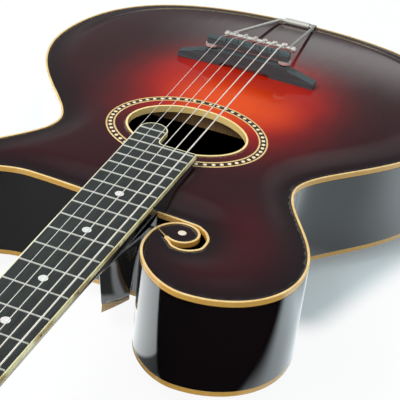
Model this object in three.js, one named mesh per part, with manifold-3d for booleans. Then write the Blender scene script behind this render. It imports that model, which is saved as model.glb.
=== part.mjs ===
// A six-string carved-top guitar with a scrolled bass shoulder and a pointed treble shoulder.
// Millimetres, +Z up. It lies on its back: the flat of the back's crown is on z = 0 around the
// origin, the strings run along +Y to the headstock and the treble side is +X.
import * as THREE from "three";
import { mergeVertices } from "three/addons/utils/BufferGeometryUtils.js";
import Module from "manifold-3d";

const wasm = await Module();
wasm.setup();

// Clearances
const gap = 0.3;
const fineGap = 0.2;
const overrun = 40;
const weldDistance = 0.0001;

// Strings and frets
const scaleLength = 635;
const notesPerOctave = 12;
const jointFretNumber = 15;
const fullFretCount = 20;
const fretCount = 22;
const stringCount = 6;
const nutSpread = 36.5;
const saddleSpread = 56.4;
const barSpread = 50;
const stringRadii = [0.62, 0.48, 0.37, 0.3, 0.24, 0.2];
const nutAction = 1.2;
const saddleAction = 7.2;

// Body outline, from the neck joint at y = 0
const bodyLength = 456;
const lowerBout = 410;
const lowerBoutFromJoint = 286;
const waist = 220;
const waistFromJoint = 92;
const bassShoulder = 153.5;
const bassShoulderRise = 22;
const scrollTopReach = 86;
const scrollTopRise = 87.5;
const hornReach = 160;
const hornRise = 31;
const cutawayReach = 84;
const cutawayDrop = 2.6;
const eyeReach = 56.3;
const eyeRise = 17;
const eyeRadius = 13.4;
const eyeGrowth = 13.1;
const eyeGrowthAngle = 0.84;
const scrollStartAngle = 0.6;
const scrollEndAngle = -5.36;
const scrollBlockFoot = 14;
const slotReach = 61.5;
const slotRise = 18.8;
const slotRadius = 16;
const slotLineRise = 1;

// Body thicknesses
const bodyDepth = 83;
const rimThickness = 2.5;
const bindingWidth = 2.1;
const bindingHeight = 4.5;
const topArch = 14;
const backArch = 16;
const plateThickness = 4.6;
const recurveReach = 34;
const restFlatDepth = 1;
const archPowerShare = 0.62;
const archCellWidth = 8;
const archPassCount = 700;
const skinPullShare = 1.9;
const skinSpareCount = 3;
const slabSpareCount = 2;
const plateCellWidth = 40;
const liningWidth = 6;
const liningHeight = 14;

// Sound hole, its binding and the inlaid ring
const holeFromJoint = 120.5;
const holeHalfWidth = 54.3;
const holeHalfLength = 41;
const holeBindingWidth = 2;
const woodRingWidth = 9;
const inlayWidth = 8;
const inlayDepth = 1.2;
const holeSideCount = 28;
const eyeDotRadius = 3.2;
const eyeDotDepth = 1.6;

// Blocks and brace
const neckBlockWidth = 84;
const neckBlockLength = 58;
const tailBlockWidth = 76;
const tailBlockLength = 26;
const braceWidth = 9;
const braceHeight = 16;
const braceFromJoint = 172;

// Neck
const neckAngle = THREE.MathUtils.degToRad(4.5);
const fretPlaneRise = 13.5;
const jointFretLead = 1.1;
const boardThickness = 6;
const boardNutWidth = 44.3;
const boardEndWidth = 59.7;
const boardBinding = 1.7;
const boardOverhang = 4.6;
const tongueReach = 29;
const tongueWidth = 25;
const fretHeight = 1;
const fretWidth = 2.2;
const dotRadius = 3.4;
const dotDepth = 1.6;
const dotFretNumbers = [5, 7, 9, 12, 15];
const nutThickness = 5;
const shaftNutDepth = 16.5;
const shaftHeelDepth = 20;
const shaftSideCount = 10;
const shaftRoundShare = 0.85;
const heelHalfWidth = 11;
const heelShoulderHalfWidth = 27;
const heelToeReach = 26.2;
const heelShoulderReach = 74;
const heelSharpnessShare = 1.85;
const heelCapDrop = 4.4;
const heelCapThickness = 3.8;
const heelCapTipThickness = 8.4;
const heelCapLip = 0.9;
const riserLength = 66;

// Headstock
const headPitch = THREE.MathUtils.degToRad(15.5);
const headDrop = 0.8;
const headLength = 175;
const headThickness = 14;
const overlayThickness = 2;
const headNutHalfWidth = 23.5;
const headShoulderHalfWidth = 31.5;
const headTopHalfWidth = 38;
const headShoulderRise = 18;
const headCrownRise = 9;

// Tuning machines
const postSpacing = 38;
const firstPostRise = 41;
const postReach = 21;
const postRadius = 3;
const postHeight = 13;
const postBore = 3.4;
const boreSideCount = 8;
const plateWidth = 13;
const plateOverhang = 12;
const tunerPlateThickness = 1.2;
const toothCount = 14;
const wormPitch = 2.4;
const toothDepth = 1.1;
const gearThickness = 3;
const wormRadius = 2.8;
const wormTurnCount = 3;
const keyShaftRadius = 1.6;
const meshClearance = 0.35;
const earThickness = 1.6;
const earWidth = 6;
const keyShaftReach = 50;
const buttonLength = 13;
const buttonHalfHeight = 8.5;
const buttonHalfThickness = 5;

// Bridge
const bridgeLength = 138;
const bridgeThickness = 12;
const bridgeTipHeight = 5.2;
const bridgeFit = 8;
const bridgeBlockHeight = 14.5;
const bridgeBlockLength = 82;
const bridgeArchLength = 54;
const bridgeArchHeight = 4;
const saddleLength = 82;
const saddleThickness = 8;
const saddleCrestThickness = 3.4;
const saddleShoulderHeight = 5.6;
const wheelRadius = 6;
const wheelThickness = 2.8;
const wheelSpan = 74;
const wheelLift = 1.6;
const wheelBore = 2.2;
const studRadius = 1.8;
const studEngagement = 5;
const studSeat = 8;
const compensation = [2.4, 1.2, 0, 1.6, 0.4, -0.8];

// Tailpiece
const barFromSaddle = 35;
const barRise = 31;
const barRadius = 2.3;
const barHalfLength = 31;
const barBallRadius = 3.3;
const pinRadius = 1.5;
const pinHeight = 1.6;
const wireRadius = 1.7;
const wireTopHalfSpan = 30;
const wireTailHalfSpan = 17.5;
const knuckleFromEdge = 27;
const knuckleRise = 8.5;
const knuckleRadius = 3.4;
const bracketWidth = 31;
const bracketThickness = 1.6;
const bracketDrop = 46;
const endPinRadius = 6;
const endPinLength = 11;
const endPinDrop = 34;

// Colours and finishes
const finishes = {
  topWood: { color: 0x8c2414, roughness: 0.18, metalness: 0 },
  blackLacquer: { color: 0x120d10, roughness: 0.12, metalness: 0 },
  rawWood: { color: 0xb98d5a, roughness: 0.8, metalness: 0 },
  ivory: { color: 0xe8cb84, roughness: 0.35, metalness: 0 },
  inlay: { color: 0xc9ab6a, roughness: 0.4, metalness: 0 },
  ebony: { color: 0x26292b, roughness: 0.45, metalness: 0 },
  pearl: { color: 0xf2f2ee, roughness: 0.2, metalness: 0 },
  bone: { color: 0xeae2cc, roughness: 0.4, metalness: 0 },
  nickel: { color: 0xcfd2cd, roughness: 0.22, metalness: 1 },
  wound: { color: 0xd9b7a8, roughness: 0.35, metalness: 1 },
  plain: { color: 0xc4c6c8, roughness: 0.25, metalness: 1 },
};

const halfShare = 0.5;
const half = (value) => value * halfShare;
const mix = (a, b, share) => a + (b - a) * share;
const v2 = (x, y) => new THREE.Vector2(x, y);
const v3 = (x, y, z) => new THREE.Vector3(x, y, z);
const fretFromSaddle = (n) => scaleLength * 2 ** (-n / notesPerOctave);

const model = new THREE.Group();
const body = new THREE.Group();
const neckFrame = new THREE.Group();
const headFrame = new THREE.Group();
model.add(body);
body.add(neckFrame);
neckFrame.add(headFrame);

// Solids
function toSolid(geometry) {
  const bare = geometry.clone();
  bare.deleteAttribute("normal");
  bare.deleteAttribute("uv");
  const merged = mergeVertices(bare, weldDistance);
  return new wasm.Manifold(
    new wasm.Mesh({
      numProp: 3,
      vertProperties: new Float32Array(merged.attributes.position.array),
      triVerts: new Uint32Array(merged.index.array),
    }),
  );
}

function toGeometry(solid) {
  const mesh = solid.getMesh();
  const geometry = new THREE.BufferGeometry();
  geometry.setAttribute("position", new THREE.BufferAttribute(mesh.vertProperties, 3));
  geometry.setIndex(new THREE.BufferAttribute(mesh.triVerts, 1));
  geometry.computeVertexNormals();
  return geometry;
}

const union = (first, ...rest) =>
  toGeometry(rest.reduce((sum, next) => sum.add(toSolid(next)), toSolid(first)));
const cut = (first, ...rest) =>
  toGeometry(rest.reduce((sum, next) => sum.subtract(toSolid(next)), toSolid(first)));
const common = (first, ...rest) =>
  toGeometry(rest.reduce((sum, next) => sum.intersect(toSolid(next)), toSolid(first)));

function prism(points, low, high, holes = []) {
  const shape = new THREE.Shape(points);
  shape.holes = holes.map((hole) => new THREE.Path(hole));
  const options = { depth: high - low, bevelEnabled: false };
  return new THREE.ExtrudeGeometry(shape, options).translate(0, 0, low);
}

// A profile drawn in x and z, given a thickness along y and centred on it
function slabAcross(points, thickness, holes = []) {
  const flat = prism(points, -half(thickness), half(thickness), holes);
  return flat.rotateX(half(Math.PI));
}

function box(low, high) {
  const size = high.clone().sub(low);
  const middle = high.clone().add(low).multiplyScalar(halfShare);
  const geometry = new THREE.BoxGeometry(size.x, size.y, size.z);
  return geometry.translate(middle.x, middle.y, middle.z);
}

function rod(radius, low, high, sides = 12) {
  const geometry = new THREE.CylinderGeometry(radius, radius, high - low, sides);
  return geometry.rotateX(half(Math.PI)).translate(0, 0, half(low + high));
}

// A closed skin through rings of equal count, with a fan over each end
function loft(rings) {
  const count = rings[0].length;
  const positions = [];
  const index = [];
  rings.forEach((ring) => ring.forEach((p) => positions.push(p.x, p.y, p.z)));
  for (let r = 0; r + 1 < rings.length; r += 1) {
    for (let i = 0; i < count; i += 1) {
      const a = r * count + i;
      const b = r * count + ((i + 1) % count);
      index.push(a, b, b + count, a, b + count, a + count);
    }
  }
  const last = (rings.length - 1) * count;
  for (let i = 1; i + 1 < count; i += 1) {
    index.push(0, i + 1, i);
    index.push(last, last + i, last + i + 1);
  }
  const geometry = new THREE.BufferGeometry();
  geometry.setAttribute("position", new THREE.Float32BufferAttribute(positions, 3));
  geometry.setIndex(index);
  geometry.computeVertexNormals();
  return geometry;
}

// A round wire along a bent line, mitred at each bend
function wire(points, radius, sides) {
  const up = v3(0, 0, 1);
  const rings = points.map((point, i) => {
    const before = points[Math.max(i - 1, 0)];
    const after = points[Math.min(i + 1, points.length - 1)];
    const along = after.clone().sub(before).normalize();
    const side = v3().crossVectors(up, along).normalize();
    const rise = v3().crossVectors(along, side);
    const ring = [];
    for (let k = 0; k < sides; k += 1) {
      const turn = (2 * Math.PI * k) / sides;
      const step = side.clone().multiplyScalar(radius * Math.cos(turn));
      step.addScaledVector(rise, radius * Math.sin(turn));
      ring.push(point.clone().add(step));
    }
    return ring;
  });
  return loft(rings);
}

function place(parent, name, finish, geometry) {
  const mesh = new THREE.Mesh(geometry, new THREE.MeshStandardMaterial(finishes[finish]));
  mesh.name = name;
  parent.add(mesh);
  return mesh;
}

// Plan of the body
function bezier(a, b, c, d, steps) {
  return new THREE.CubicBezierCurve(a, b, c, d).getPoints(steps);
}

const boutHandleShare = 0.62;
const tailHandleShare = 0.68;
const waistHandleShare = 0.22;
const boutUpHandleShare = 0.56;

// Half of the lower bout from the tail to the waist: side is 1 for treble and -1 for bass
function lowerBoutSide(side) {
  const wide = side * half(lowerBout);
  const narrow = side * half(waist);
  const tailRun = bodyLength - lowerBoutFromJoint;
  const waistRun = lowerBoutFromJoint - waistFromJoint;
  const round = bezier(
    v2(0, -bodyLength),
    v2(wide * tailHandleShare, -bodyLength),
    v2(wide, -lowerBoutFromJoint - tailRun * boutHandleShare),
    v2(wide, -lowerBoutFromJoint),
    8,
  );
  const draw = bezier(
    v2(wide, -lowerBoutFromJoint),
    v2(wide, -lowerBoutFromJoint + waistRun * boutUpHandleShare),
    v2(narrow, -waistFromJoint - waistRun * waistHandleShare),
    v2(narrow, -waistFromJoint),
    6,
  );
  return [...round, ...draw.slice(1)];
}

const hornStartRunShare = 0.26;
const hornEndReachShare = 0.92;
const hornEndRunShare = 0.52;

function trebleShoulder() {
  const run = waistFromJoint + hornRise;
  return bezier(
    v2(half(waist), -waistFromJoint),
    v2(half(waist), -waistFromJoint + run * hornStartRunShare),
    v2(mix(half(waist), hornReach, hornEndReachShare), -waistFromJoint + run * hornEndRunShare),
    v2(hornReach, hornRise),
    6,
  );
}

const hollowStartReachShare = 0.33;
const hollowStartFallShare = 0.3;
const hollowEndReachShare = 0.34;
const hollowToNeckShare = 0.72;

// From the point of the treble shoulder to the neck joint and on to the start of the scroll's slot
function cutawaySide() {
  const fall = hornRise + cutawayDrop;
  const run = hornReach - cutawayReach;
  const hollow = bezier(
    v2(hornReach, hornRise),
    v2(hornReach - run * hollowStartReachShare, hornRise - fall * hollowStartFallShare),
    v2(cutawayReach + run * hollowEndReachShare, -cutawayDrop),
    v2(cutawayReach, -cutawayDrop),
    6,
  );
  const toNeck = bezier(
    v2(cutawayReach, -cutawayDrop),
    v2(cutawayReach * hollowToNeckShare, -cutawayDrop),
    v2(half(boardEndWidth) + cutawayDrop, 0),
    v2(half(boardEndWidth), 0),
    3,
  );
  return [...hollow, ...toNeck.slice(1), v2(-half(boardEndWidth), 0)];
}

// The body's side of the slot, round the eye of the scroll to the slot's closed end.
// Each entry is a turn from the slot's centre and a share of the slot's radius.
const slotShares = [
  [-0.487, 1.04],
  [-0.595, 0.95],
  [-0.728, 0.885],
  [-0.9, 0.88],
  [-1.043, 0.92],
  [-1.2, 1.07],
  [-1.345, 1.11],
  [-1.468, 1.115],
  [-1.59, 1.065],
  [-1.698, 0.955],
];

function slotSide() {
  const points = slotShares.map(([turnShare, radiusShare]) => {
    const turn = Math.PI * turnShare;
    const reach = slotRadius * radiusShare;
    return v2(-slotReach + reach * Math.cos(turn), slotRise + reach * Math.sin(turn));
  });
  const line = v2(mix(-half(boardEndWidth), -slotReach, halfShare), slotLineRise);
  points.unshift(line);
  points.push(spiralPoint(scrollEndAngle));
  return new THREE.SplineCurve(points).getPoints(15);
}

function spiralPoint(turn) {
  const reach = eyeRadius + eyeGrowth * Math.exp((turn - scrollStartAngle) / eyeGrowthAngle);
  return v2(-eyeReach + reach * Math.cos(turn), eyeRise + reach * Math.sin(turn));
}

// The head of the scroll, from the slot's closed end round the eye and out beside the neck
function scrollHead() {
  const points = [];
  const steps = 16;
  for (let i = 0; i <= steps; i += 1) {
    points.push(spiralPoint(mix(scrollEndAngle, scrollStartAngle, i / steps)));
  }
  return points;
}

const scrollNeckBulgeShare = 0.12;
const scrollTopHandleShare = 0.46;
const shoulderHandleShare = 0.41;
const bassWaistHandleShare = 0.31;

function bassUpperSide() {
  const start = spiralPoint(scrollStartAngle);
  const top = v2(-scrollTopReach, scrollTopRise);
  const wide = v2(-bassShoulder, bassShoulderRise);
  const narrow = v2(-half(waist), -waistFromJoint);
  const rise = top.y - start.y;
  const neckSide = bezier(
    start,
    v2(start.x + eyeGrowth * scrollNeckBulgeShare, mix(start.y, top.y, halfShare)),
    v2(mix(top.x, start.x, scrollTopHandleShare), top.y),
    top,
    8,
  );
  const shoulder = bezier(
    top,
    v2(mix(top.x, wide.x, halfShare), top.y),
    v2(wide.x, mix(wide.y, top.y, rise / top.y)),
    wide,
    8,
  );
  const draw = bezier(
    wide,
    v2(wide.x, mix(wide.y, narrow.y, shoulderHandleShare)),
    v2(narrow.x, mix(narrow.y, wide.y, bassWaistHandleShare)),
    narrow,
    6,
  );
  return [...neckSide.slice(1), ...shoulder.slice(1), ...draw.slice(1)];
}

// Two runs that meet at the two sharp corners: the horn's point and the slot's closed end
function mainRun() {
  return [
    ...scrollHead(),
    ...bassUpperSide(),
    ...lowerBoutSide(-1).reverse().slice(1),
    ...lowerBoutSide(1).slice(1),
    ...trebleShoulder().slice(1),
  ];
}

function cutawayRun() {
  return [...cutawaySide(), ...slotSide()];
}

function insetRun(points, distance) {
  return points.map((point, i) => {
    const before = points[Math.max(i - 1, 0)];
    const after = points[Math.min(i + 1, points.length - 1)];
    const a = i > 0 ? point.clone().sub(before).normalize() : null;
    const b = i + 1 < points.length ? after.clone().sub(point).normalize() : null;
    const first = a ?? b;
    const second = b ?? a;
    const along = first.clone().add(second).normalize();
    const spread = Math.max(along.dot(first), halfShare);
    const step = distance / spread;
    return v2(point.x - along.y * step, point.y + along.x * step);
  });
}

function crossing(a, b, c, d) {
  const ab = b.clone().sub(a);
  const cd = d.clone().sub(c);
  const scale = ab.cross(cd);
  if (scale === 0) return null;
  const ac = c.clone().sub(a);
  const s = ac.cross(cd) / scale;
  const t = ac.cross(ab) / scale;
  return s >= 0 && s <= 1 && t >= 0 && t <= 1 ? a.clone().addScaledVector(ab, s) : null;
}

// Joins two inset runs where they cross, near the end of the first and the start of the second
function joinRuns(first, second) {
  for (let i = first.length - 2; i >= 0; i -= 1) {
    for (let j = 0; j + 1 < second.length; j += 1) {
      const meet = crossing(first[i], first[i + 1], second[j], second[j + 1]);
      if (meet) return [...first.slice(0, i + 1), meet, ...second.slice(j + 1)];
    }
  }
  return [...first, ...second.slice(1)];
}

function bodyOutline(inset) {
  const main = mainRun();
  const cutaway = cutawayRun();
  if (inset === 0) return [...main, ...cutaway.slice(1, -1)];
  const joined = joinRuns(insetRun(main, inset), insetRun(cutaway, inset));
  const tip = main[0];
  const forward = tip.clone().sub(cutaway[cutaway.length - 2]).normalize();
  joined.push(tip.clone().addScaledVector(forward, inset));
  return joined;
}

// Carved arch: the height of a skin stretched over the plan, 0 at the edge and 1 at its crown
const planEdge = bodyOutline(0);
const planBox = new THREE.Box2().setFromPoints(planEdge);

function insidePlan(x, y) {
  let inside = false;
  planEdge.forEach((a, i) => {
    const b = planEdge[(i + 1) % planEdge.length];
    const spans = a.y > y !== b.y > y;
    if (spans && x < ((b.x - a.x) * (y - a.y)) / (b.y - a.y) + a.x) inside = !inside;
  });
  return inside;
}

function distanceToEdge(x, y) {
  let best = Infinity;
  planEdge.forEach((a, i) => {
    const b = planEdge[(i + 1) % planEdge.length];
    const dx = b.x - a.x;
    const dy = b.y - a.y;
    const along = ((x - a.x) * dx + (y - a.y) * dy) / (dx * dx + dy * dy);
    const share = THREE.MathUtils.clamp(along, 0, 1);
    best = Math.min(best, Math.hypot(x - a.x - dx * share, y - a.y - dy * share));
  });
  return best;
}

const skinColumns = Math.ceil((planBox.max.x - planBox.min.x) / archCellWidth) + skinSpareCount;
const skinRows = Math.ceil((planBox.max.y - planBox.min.y) / archCellWidth) + skinSpareCount;
const skinLeft = planBox.min.x - archCellWidth;
const skinFoot = planBox.min.y - archCellWidth;

function stretchSkin() {
  const heights = new Float64Array(skinColumns * skinRows);
  const free = [];
  for (let row = 1; row + 1 < skinRows; row += 1) {
    for (let column = 1; column + 1 < skinColumns; column += 1) {
      const inside = insidePlan(skinLeft + column * archCellWidth, skinFoot + row * archCellWidth);
      if (inside) free.push(row * skinColumns + column);
    }
  }
  for (let pass = 0; pass < archPassCount; pass += 1) {
    free.forEach((i) => {
      const around = [i - 1, i + 1, i - skinColumns, i + skinColumns];
      const sum = around.reduce((total, near) => total + heights[near], 1);
      heights[i] += skinPullShare * (sum / around.length - heights[i]);
    });
  }
  const crown = Math.max(...heights);
  return heights.map((value) => value / crown);
}

const skin = stretchSkin();

const lastCellCount = 1.001;

function skinShare(x, y) {
  const column = THREE.MathUtils.clamp((x - skinLeft) / archCellWidth, 0, skinColumns - lastCellCount);
  const row = THREE.MathUtils.clamp((y - skinFoot) / archCellWidth, 0, skinRows - lastCellCount);
  const c = Math.floor(column);
  const r = Math.floor(row);
  const low = mix(skin[r * skinColumns + c], skin[r * skinColumns + c + 1], column - c);
  const next = (r + 1) * skinColumns + c;
  return mix(low, mix(skin[next], skin[next + 1], column - c), row - r);
}

function archShare(x, y) {
  if (!insidePlan(x, y)) return 0;
  const blend = THREE.MathUtils.smoothstep(distanceToEdge(x, y), 0, recurveReach);
  return blend * Math.max(skinShare(x, y), 0) ** archPowerShare;
}

const crownIndex = skin.indexOf(1);
const crownY = skinFoot + Math.floor(crownIndex / skinColumns) * archCellWidth;

const topHeight = (x, y) => topArch * archShare(x, y) - fineGap;
const backHeight = (x, y) => -bodyDepth - backArch * archShare(x, y) + fineGap;

// A slab over the whole plan between two height fields on one grid
function fieldSlab(lowField, highField) {
  const columns = Math.ceil((planBox.max.x - planBox.min.x) / plateCellWidth) + slabSpareCount;
  const rows = Math.ceil((planBox.max.y - planBox.min.y) / plateCellWidth) + slabSpareCount;
  const left = -half(columns) * plateCellWidth;
  const foot = planBox.min.y - plateCellWidth;
  const positions = [];
  const index = [];
  const across = columns + 1;
  const layer = across * (rows + 1);
  [lowField, highField].forEach((field) => {
    for (let r = 0; r <= rows; r += 1) {
      for (let c = 0; c <= columns; c += 1) {
        const x = left + c * plateCellWidth;
        const y = foot + r * plateCellWidth;
        positions.push(x, y, field(x, y));
      }
    }
  });
  const quad = (a, b, c, d) => index.push(a, b, c, a, c, d);
  for (let r = 0; r < rows; r += 1) {
    for (let c = 0; c < columns; c += 1) {
      const i = r * across + c;
      quad(i + layer, i + 1 + layer, i + 1 + across + layer, i + across + layer);
      quad(i, i + across, i + 1 + across, i + 1);
    }
  }
  for (let c = 0; c < columns; c += 1) {
    const far = rows * across + c;
    quad(c, c + 1, c + 1 + layer, c + layer);
    quad(far + 1, far, far + layer, far + 1 + layer);
  }
  for (let r = 0; r < rows; r += 1) {
    const i = r * across;
    const j = i + columns;
    quad(i + across, i, i + layer, i + across + layer);
    quad(j, j + across, j + across + layer, j + layer);
  }
  const geometry = new THREE.BufferGeometry();
  geometry.setAttribute("position", new THREE.Float32BufferAttribute(positions, 3));
  geometry.setIndex(index);
  return geometry;
}

const ellipse = (halfWidth, halfLength, sides = holeSideCount) =>
  new THREE.EllipseCurve(0, -holeFromJoint, halfWidth, halfLength)
    .getPoints(sides)
    .slice(0, -1);

const innerHoleWidth = holeHalfWidth - holeBindingWidth;
const innerHoleLength = holeHalfLength - holeBindingWidth;
const inlayInnerWidth = holeHalfWidth + woodRingWidth;
const inlayInnerLength = holeHalfLength + woodRingWidth;

function buildPlates() {
  const edge = bodyOutline(bindingWidth + gap);
  const whole = prism(edge, -bodyDepth - overrun, topArch + overrun);
  const topSlab = fieldSlab((x, y) => topHeight(x, y) - plateThickness, topHeight);
  const holePlan = ellipse(holeHalfWidth + fineGap, holeHalfLength + fineGap);
  const hole = prism(holePlan, -overrun, overrun);
  const grooveBand = prism(
    ellipse(inlayInnerWidth + inlayWidth + fineGap, inlayInnerLength + inlayWidth + fineGap),
    -overrun,
    overrun,
    [ellipse(inlayInnerWidth - fineGap, inlayInnerLength - fineGap)],
  );
  const inlayBand = prism(
    ellipse(inlayInnerWidth + inlayWidth, inlayInnerLength + inlayWidth),
    -overrun,
    overrun,
    [ellipse(inlayInnerWidth, inlayInnerLength)],
  );
  const grooveLayer = fieldSlab(
    (x, y) => topHeight(x, y) - inlayDepth - fineGap,
    (x, y) => topHeight(x, y) + overrun,
  );
  const inlayLayer = fieldSlab((x, y) => topHeight(x, y) - inlayDepth, topHeight);
  const eyeTop = topHeight(-eyeReach, eyeRise);
  const dotBore = rod(eyeDotRadius + fineGap, eyeTop - eyeDotDepth - fineGap, overrun);
  dotBore.translate(-eyeReach, eyeRise, 0);
  const groove = common(grooveBand, grooveLayer);
  place(body, "top_plate", "topWood", cut(common(topSlab, whole), hole, groove, dotBore));
  place(body, "rosette", "inlay", common(inlayBand, inlayLayer));
  const dot = rod(eyeDotRadius, eyeTop - eyeDotDepth, eyeTop);
  place(body, "scroll_dot", "pearl", dot.translate(-eyeReach, eyeRise, 0));
  const liner = prism(ellipse(holeHalfWidth, holeHalfLength), -overrun, overrun, [
    ellipse(innerHoleWidth, innerHoleLength),
  ]);
  const linerLayer = fieldSlab(
    (x, y) => topHeight(x, y) - plateThickness - fineGap,
    (x, y) => topHeight(x, y) + fineGap,
  );
  place(body, "soundhole_binding", "ivory", common(liner, linerLayer));

  const backSlab = fieldSlab(backHeight, (x, y) => backHeight(x, y) + plateThickness);
  const restFlat = box(
    v3(-lowerBout, -2 * bodyLength, -bodyDepth - backArch - overrun),
    v3(lowerBout, bodyLength, -bodyDepth - backArch + restFlatDepth),
  );
  place(body, "back_plate", "blackLacquer", cut(common(backSlab, whole), restFlat));
}

function buildRim() {
  const outer = bodyOutline(0);
  const inner = bodyOutline(rimThickness);
  const bindingInner = bodyOutline(bindingWidth);
  const rimTop = -bindingHeight - gap;
  const rimFoot = -bodyDepth + bindingHeight + gap;
  place(body, "rim", "blackLacquer", prism(outer, rimFoot, rimTop, [inner]));
  place(body, "top_binding", "ivory", prism(outer, -bindingHeight, 0, [bindingInner]));
  const backRing = prism(outer, -bodyDepth, -bodyDepth + bindingHeight, [bindingInner]);
  place(body, "back_binding", "ivory", backRing);
}

// Where the rim ends and the inner pieces begin
const innerInset = rimThickness + gap;
const roomFoot = (x, y) => backHeight(x, y) + plateThickness + gap;
const roomTop = (x, y) => topHeight(x, y) - plateThickness - gap;

// The plan inside the linings, which stop at the neck block and at the scroll block
function liningOutline(inset) {
  const shoulder = bassUpperSide().slice(8);
  const main = [
    ...shoulder,
    ...lowerBoutSide(-1).reverse().slice(1),
    ...lowerBoutSide(1).slice(1),
    ...trebleShoulder().slice(1),
  ];
  const joined = joinRuns(insetRun(main, inset), insetRun(cutawaySide(), inset));
  return joined;
}

const scrollBlockReachShare = 0.64;
const scrollBlockReach = bassShoulder * scrollBlockReachShare;

function buildInside() {
  const withinRim = prism(bodyOutline(innerInset), -overrun - bodyDepth, overrun);
  const room = common(withinRim, fieldSlab(roomFoot, roomTop));
  const neckBlock = box(
    v3(-half(neckBlockWidth), -neckBlockLength, -bodyDepth - overrun),
    v3(half(neckBlockWidth), 0, overrun),
  );
  place(body, "neck_block", "rawWood", common(room, neckBlock));
  const blockSide = half(neckBlockWidth) + gap;
  const neckSide = half(boardEndWidth);
  const scrollPlan = [
    v2(-scrollBlockReach, -scrollBlockFoot),
    v2(-blockSide, -scrollBlockFoot),
    v2(-blockSide, -gap),
    v2(-neckSide, -gap),
    v2(-neckSide, scrollTopRise + overrun),
    v2(-scrollBlockReach, scrollTopRise + overrun),
  ];
  const scrollColumn = prism(scrollPlan, -bodyDepth - overrun, overrun);
  place(body, "scroll_block", "rawWood", common(room, scrollColumn));
  const tailBlock = box(
    v3(-half(tailBlockWidth), -bodyLength, -bodyDepth + plateThickness + liningHeight + 2 * gap),
    v3(half(tailBlockWidth), -bodyLength + tailBlockLength, -plateThickness - liningHeight - 2 * gap),
  );
  place(body, "tail_block", "rawWood", common(room, tailBlock));

  const blocks = prism(
    [
      v2(-scrollBlockReach - gap, scrollTopRise + overrun),
      v2(-scrollBlockReach - gap, -scrollBlockFoot - gap),
      v2(-blockSide, -scrollBlockFoot - gap),
      v2(-blockSide, -neckBlockLength - gap),
      v2(blockSide, -neckBlockLength - gap),
      v2(blockSide, scrollTopRise + overrun),
    ],
    -bodyDepth - overrun,
    overrun,
  );
  const band = (low, high) =>
    cut(
      prism(bodyOutline(innerInset), low, high),
      prism(liningOutline(innerInset + liningWidth), low - gap, high + gap),
      blocks,
    );
  const topLining = band(-plateThickness - gap - liningHeight, -plateThickness - 2 * gap);
  place(body, "top_lining", "rawWood", topLining);
  const backLining = band(
    -bodyDepth + plateThickness + 2 * gap,
    -bodyDepth + plateThickness + gap + liningHeight,
  );
  place(body, "back_lining", "rawWood", backLining);

  const braceBar = box(
    v3(-half(lowerBout), -braceFromJoint - half(braceWidth), -overrun),
    v3(half(lowerBout), -braceFromJoint + half(braceWidth), overrun),
  );
  const braceRoom = prism(liningOutline(innerInset + liningWidth + gap), -overrun, overrun);
  const braceLayer = fieldSlab((x, y) => roomTop(x, y) - braceHeight, roomTop);
  place(body, "top_brace", "rawWood", common(braceBar, braceRoom, braceLayer));
}

// Neck: its frame has its origin on the crown of the joint fret and y along the strings
neckFrame.position.set(0, jointFretLead, fretPlaneRise);
neckFrame.rotation.x = -neckAngle;
const boardTop = -fretHeight;
const boardFoot = boardTop - boardThickness;
const nutY = scaleLength - fretFromSaddle(jointFretNumber);
const fretY = (n) => fretFromSaddle(n) - fretFromSaddle(jointFretNumber);
const saddleY = -fretFromSaddle(jointFretNumber);
const boardEndY = fretY(fullFretCount) - boardOverhang;
headFrame.position.set(0, nutY + nutThickness + gap, boardFoot - headDrop);
headFrame.rotation.x = -headPitch;
model.updateMatrixWorld(true);
const neckToBody = neckFrame.matrix.clone();
const bodyToNeck = neckToBody.clone().invert();
const headToNeck = headFrame.matrix.clone();
const headToBody = neckToBody.clone().multiply(headToNeck);

const boardHalfWidth = (y) =>
  half(mix(boardEndWidth, boardNutWidth, (y - boardEndY) / (nutY - boardEndY)));

// The solid that pieces on the top must stay clear of, in the body's frame
const topClearance = () =>
  fieldSlab(
    () => -bodyDepth - overrun,
    (x, y) => Math.max(topHeight(x, y), 0) + gap,
  );

const tongueTipShare = 0.46;
const tongueFilletShare = 0.24;

// Edge of the board from the nut down the bass side, round the tongue and back up to the nut
function boardRun() {
  const treble = boardHalfWidth(boardEndY);
  const tongueLeft = treble - tongueWidth;
  const tip = boardEndY - tongueReach;
  const tipRise = tongueWidth * tongueTipShare;
  const filletRun = tongueWidth * tongueFilletShare;
  const round = new THREE.EllipseCurve(
    treble - half(tongueWidth),
    tip + tipRise,
    half(tongueWidth),
    tipRise,
    Math.PI,
    2 * Math.PI,
  ).getPoints(8);
  const fillet = new THREE.QuadraticBezierCurve(
    v2(tongueLeft - filletRun, boardEndY),
    v2(tongueLeft, boardEndY),
    v2(tongueLeft, boardEndY - filletRun),
  ).getPoints(4);
  return [
    v2(-boardHalfWidth(nutY), nutY),
    v2(-treble, boardEndY + boardBinding),
    v2(-treble + boardBinding, boardEndY),
    ...fillet,
    ...round,
    v2(boardHalfWidth(nutY), nutY),
  ];
}

const fretShoulderShare = 0.85;

function fretBar(n) {
  const y = fretY(n);
  const inner = boardBinding + 2 * gap;
  const right = boardHalfWidth(Math.max(y, boardEndY)) - inner;
  const onTongue = n > fullFretCount;
  const left = onTongue ? boardHalfWidth(boardEndY) - tongueWidth + inner : -right;
  const wide = half(fretWidth);
  const profile = [
    v2(-wide, -gap),
    v2(wide, -gap),
    v2(wide * fretShoulderShare, half(fretHeight)),
    v2(0, fretHeight),
    v2(-wide * fretShoulderShare, half(fretHeight)),
  ];
  const bar = prism(profile, left, right).rotateX(half(Math.PI)).rotateZ(half(Math.PI));
  return bar.translate(0, y, boardTop);
}

const nutBackDropShare = 0.3;
const nutCrownShare = 0.6;
const nutCrownDropShare = 0.06;

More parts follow.
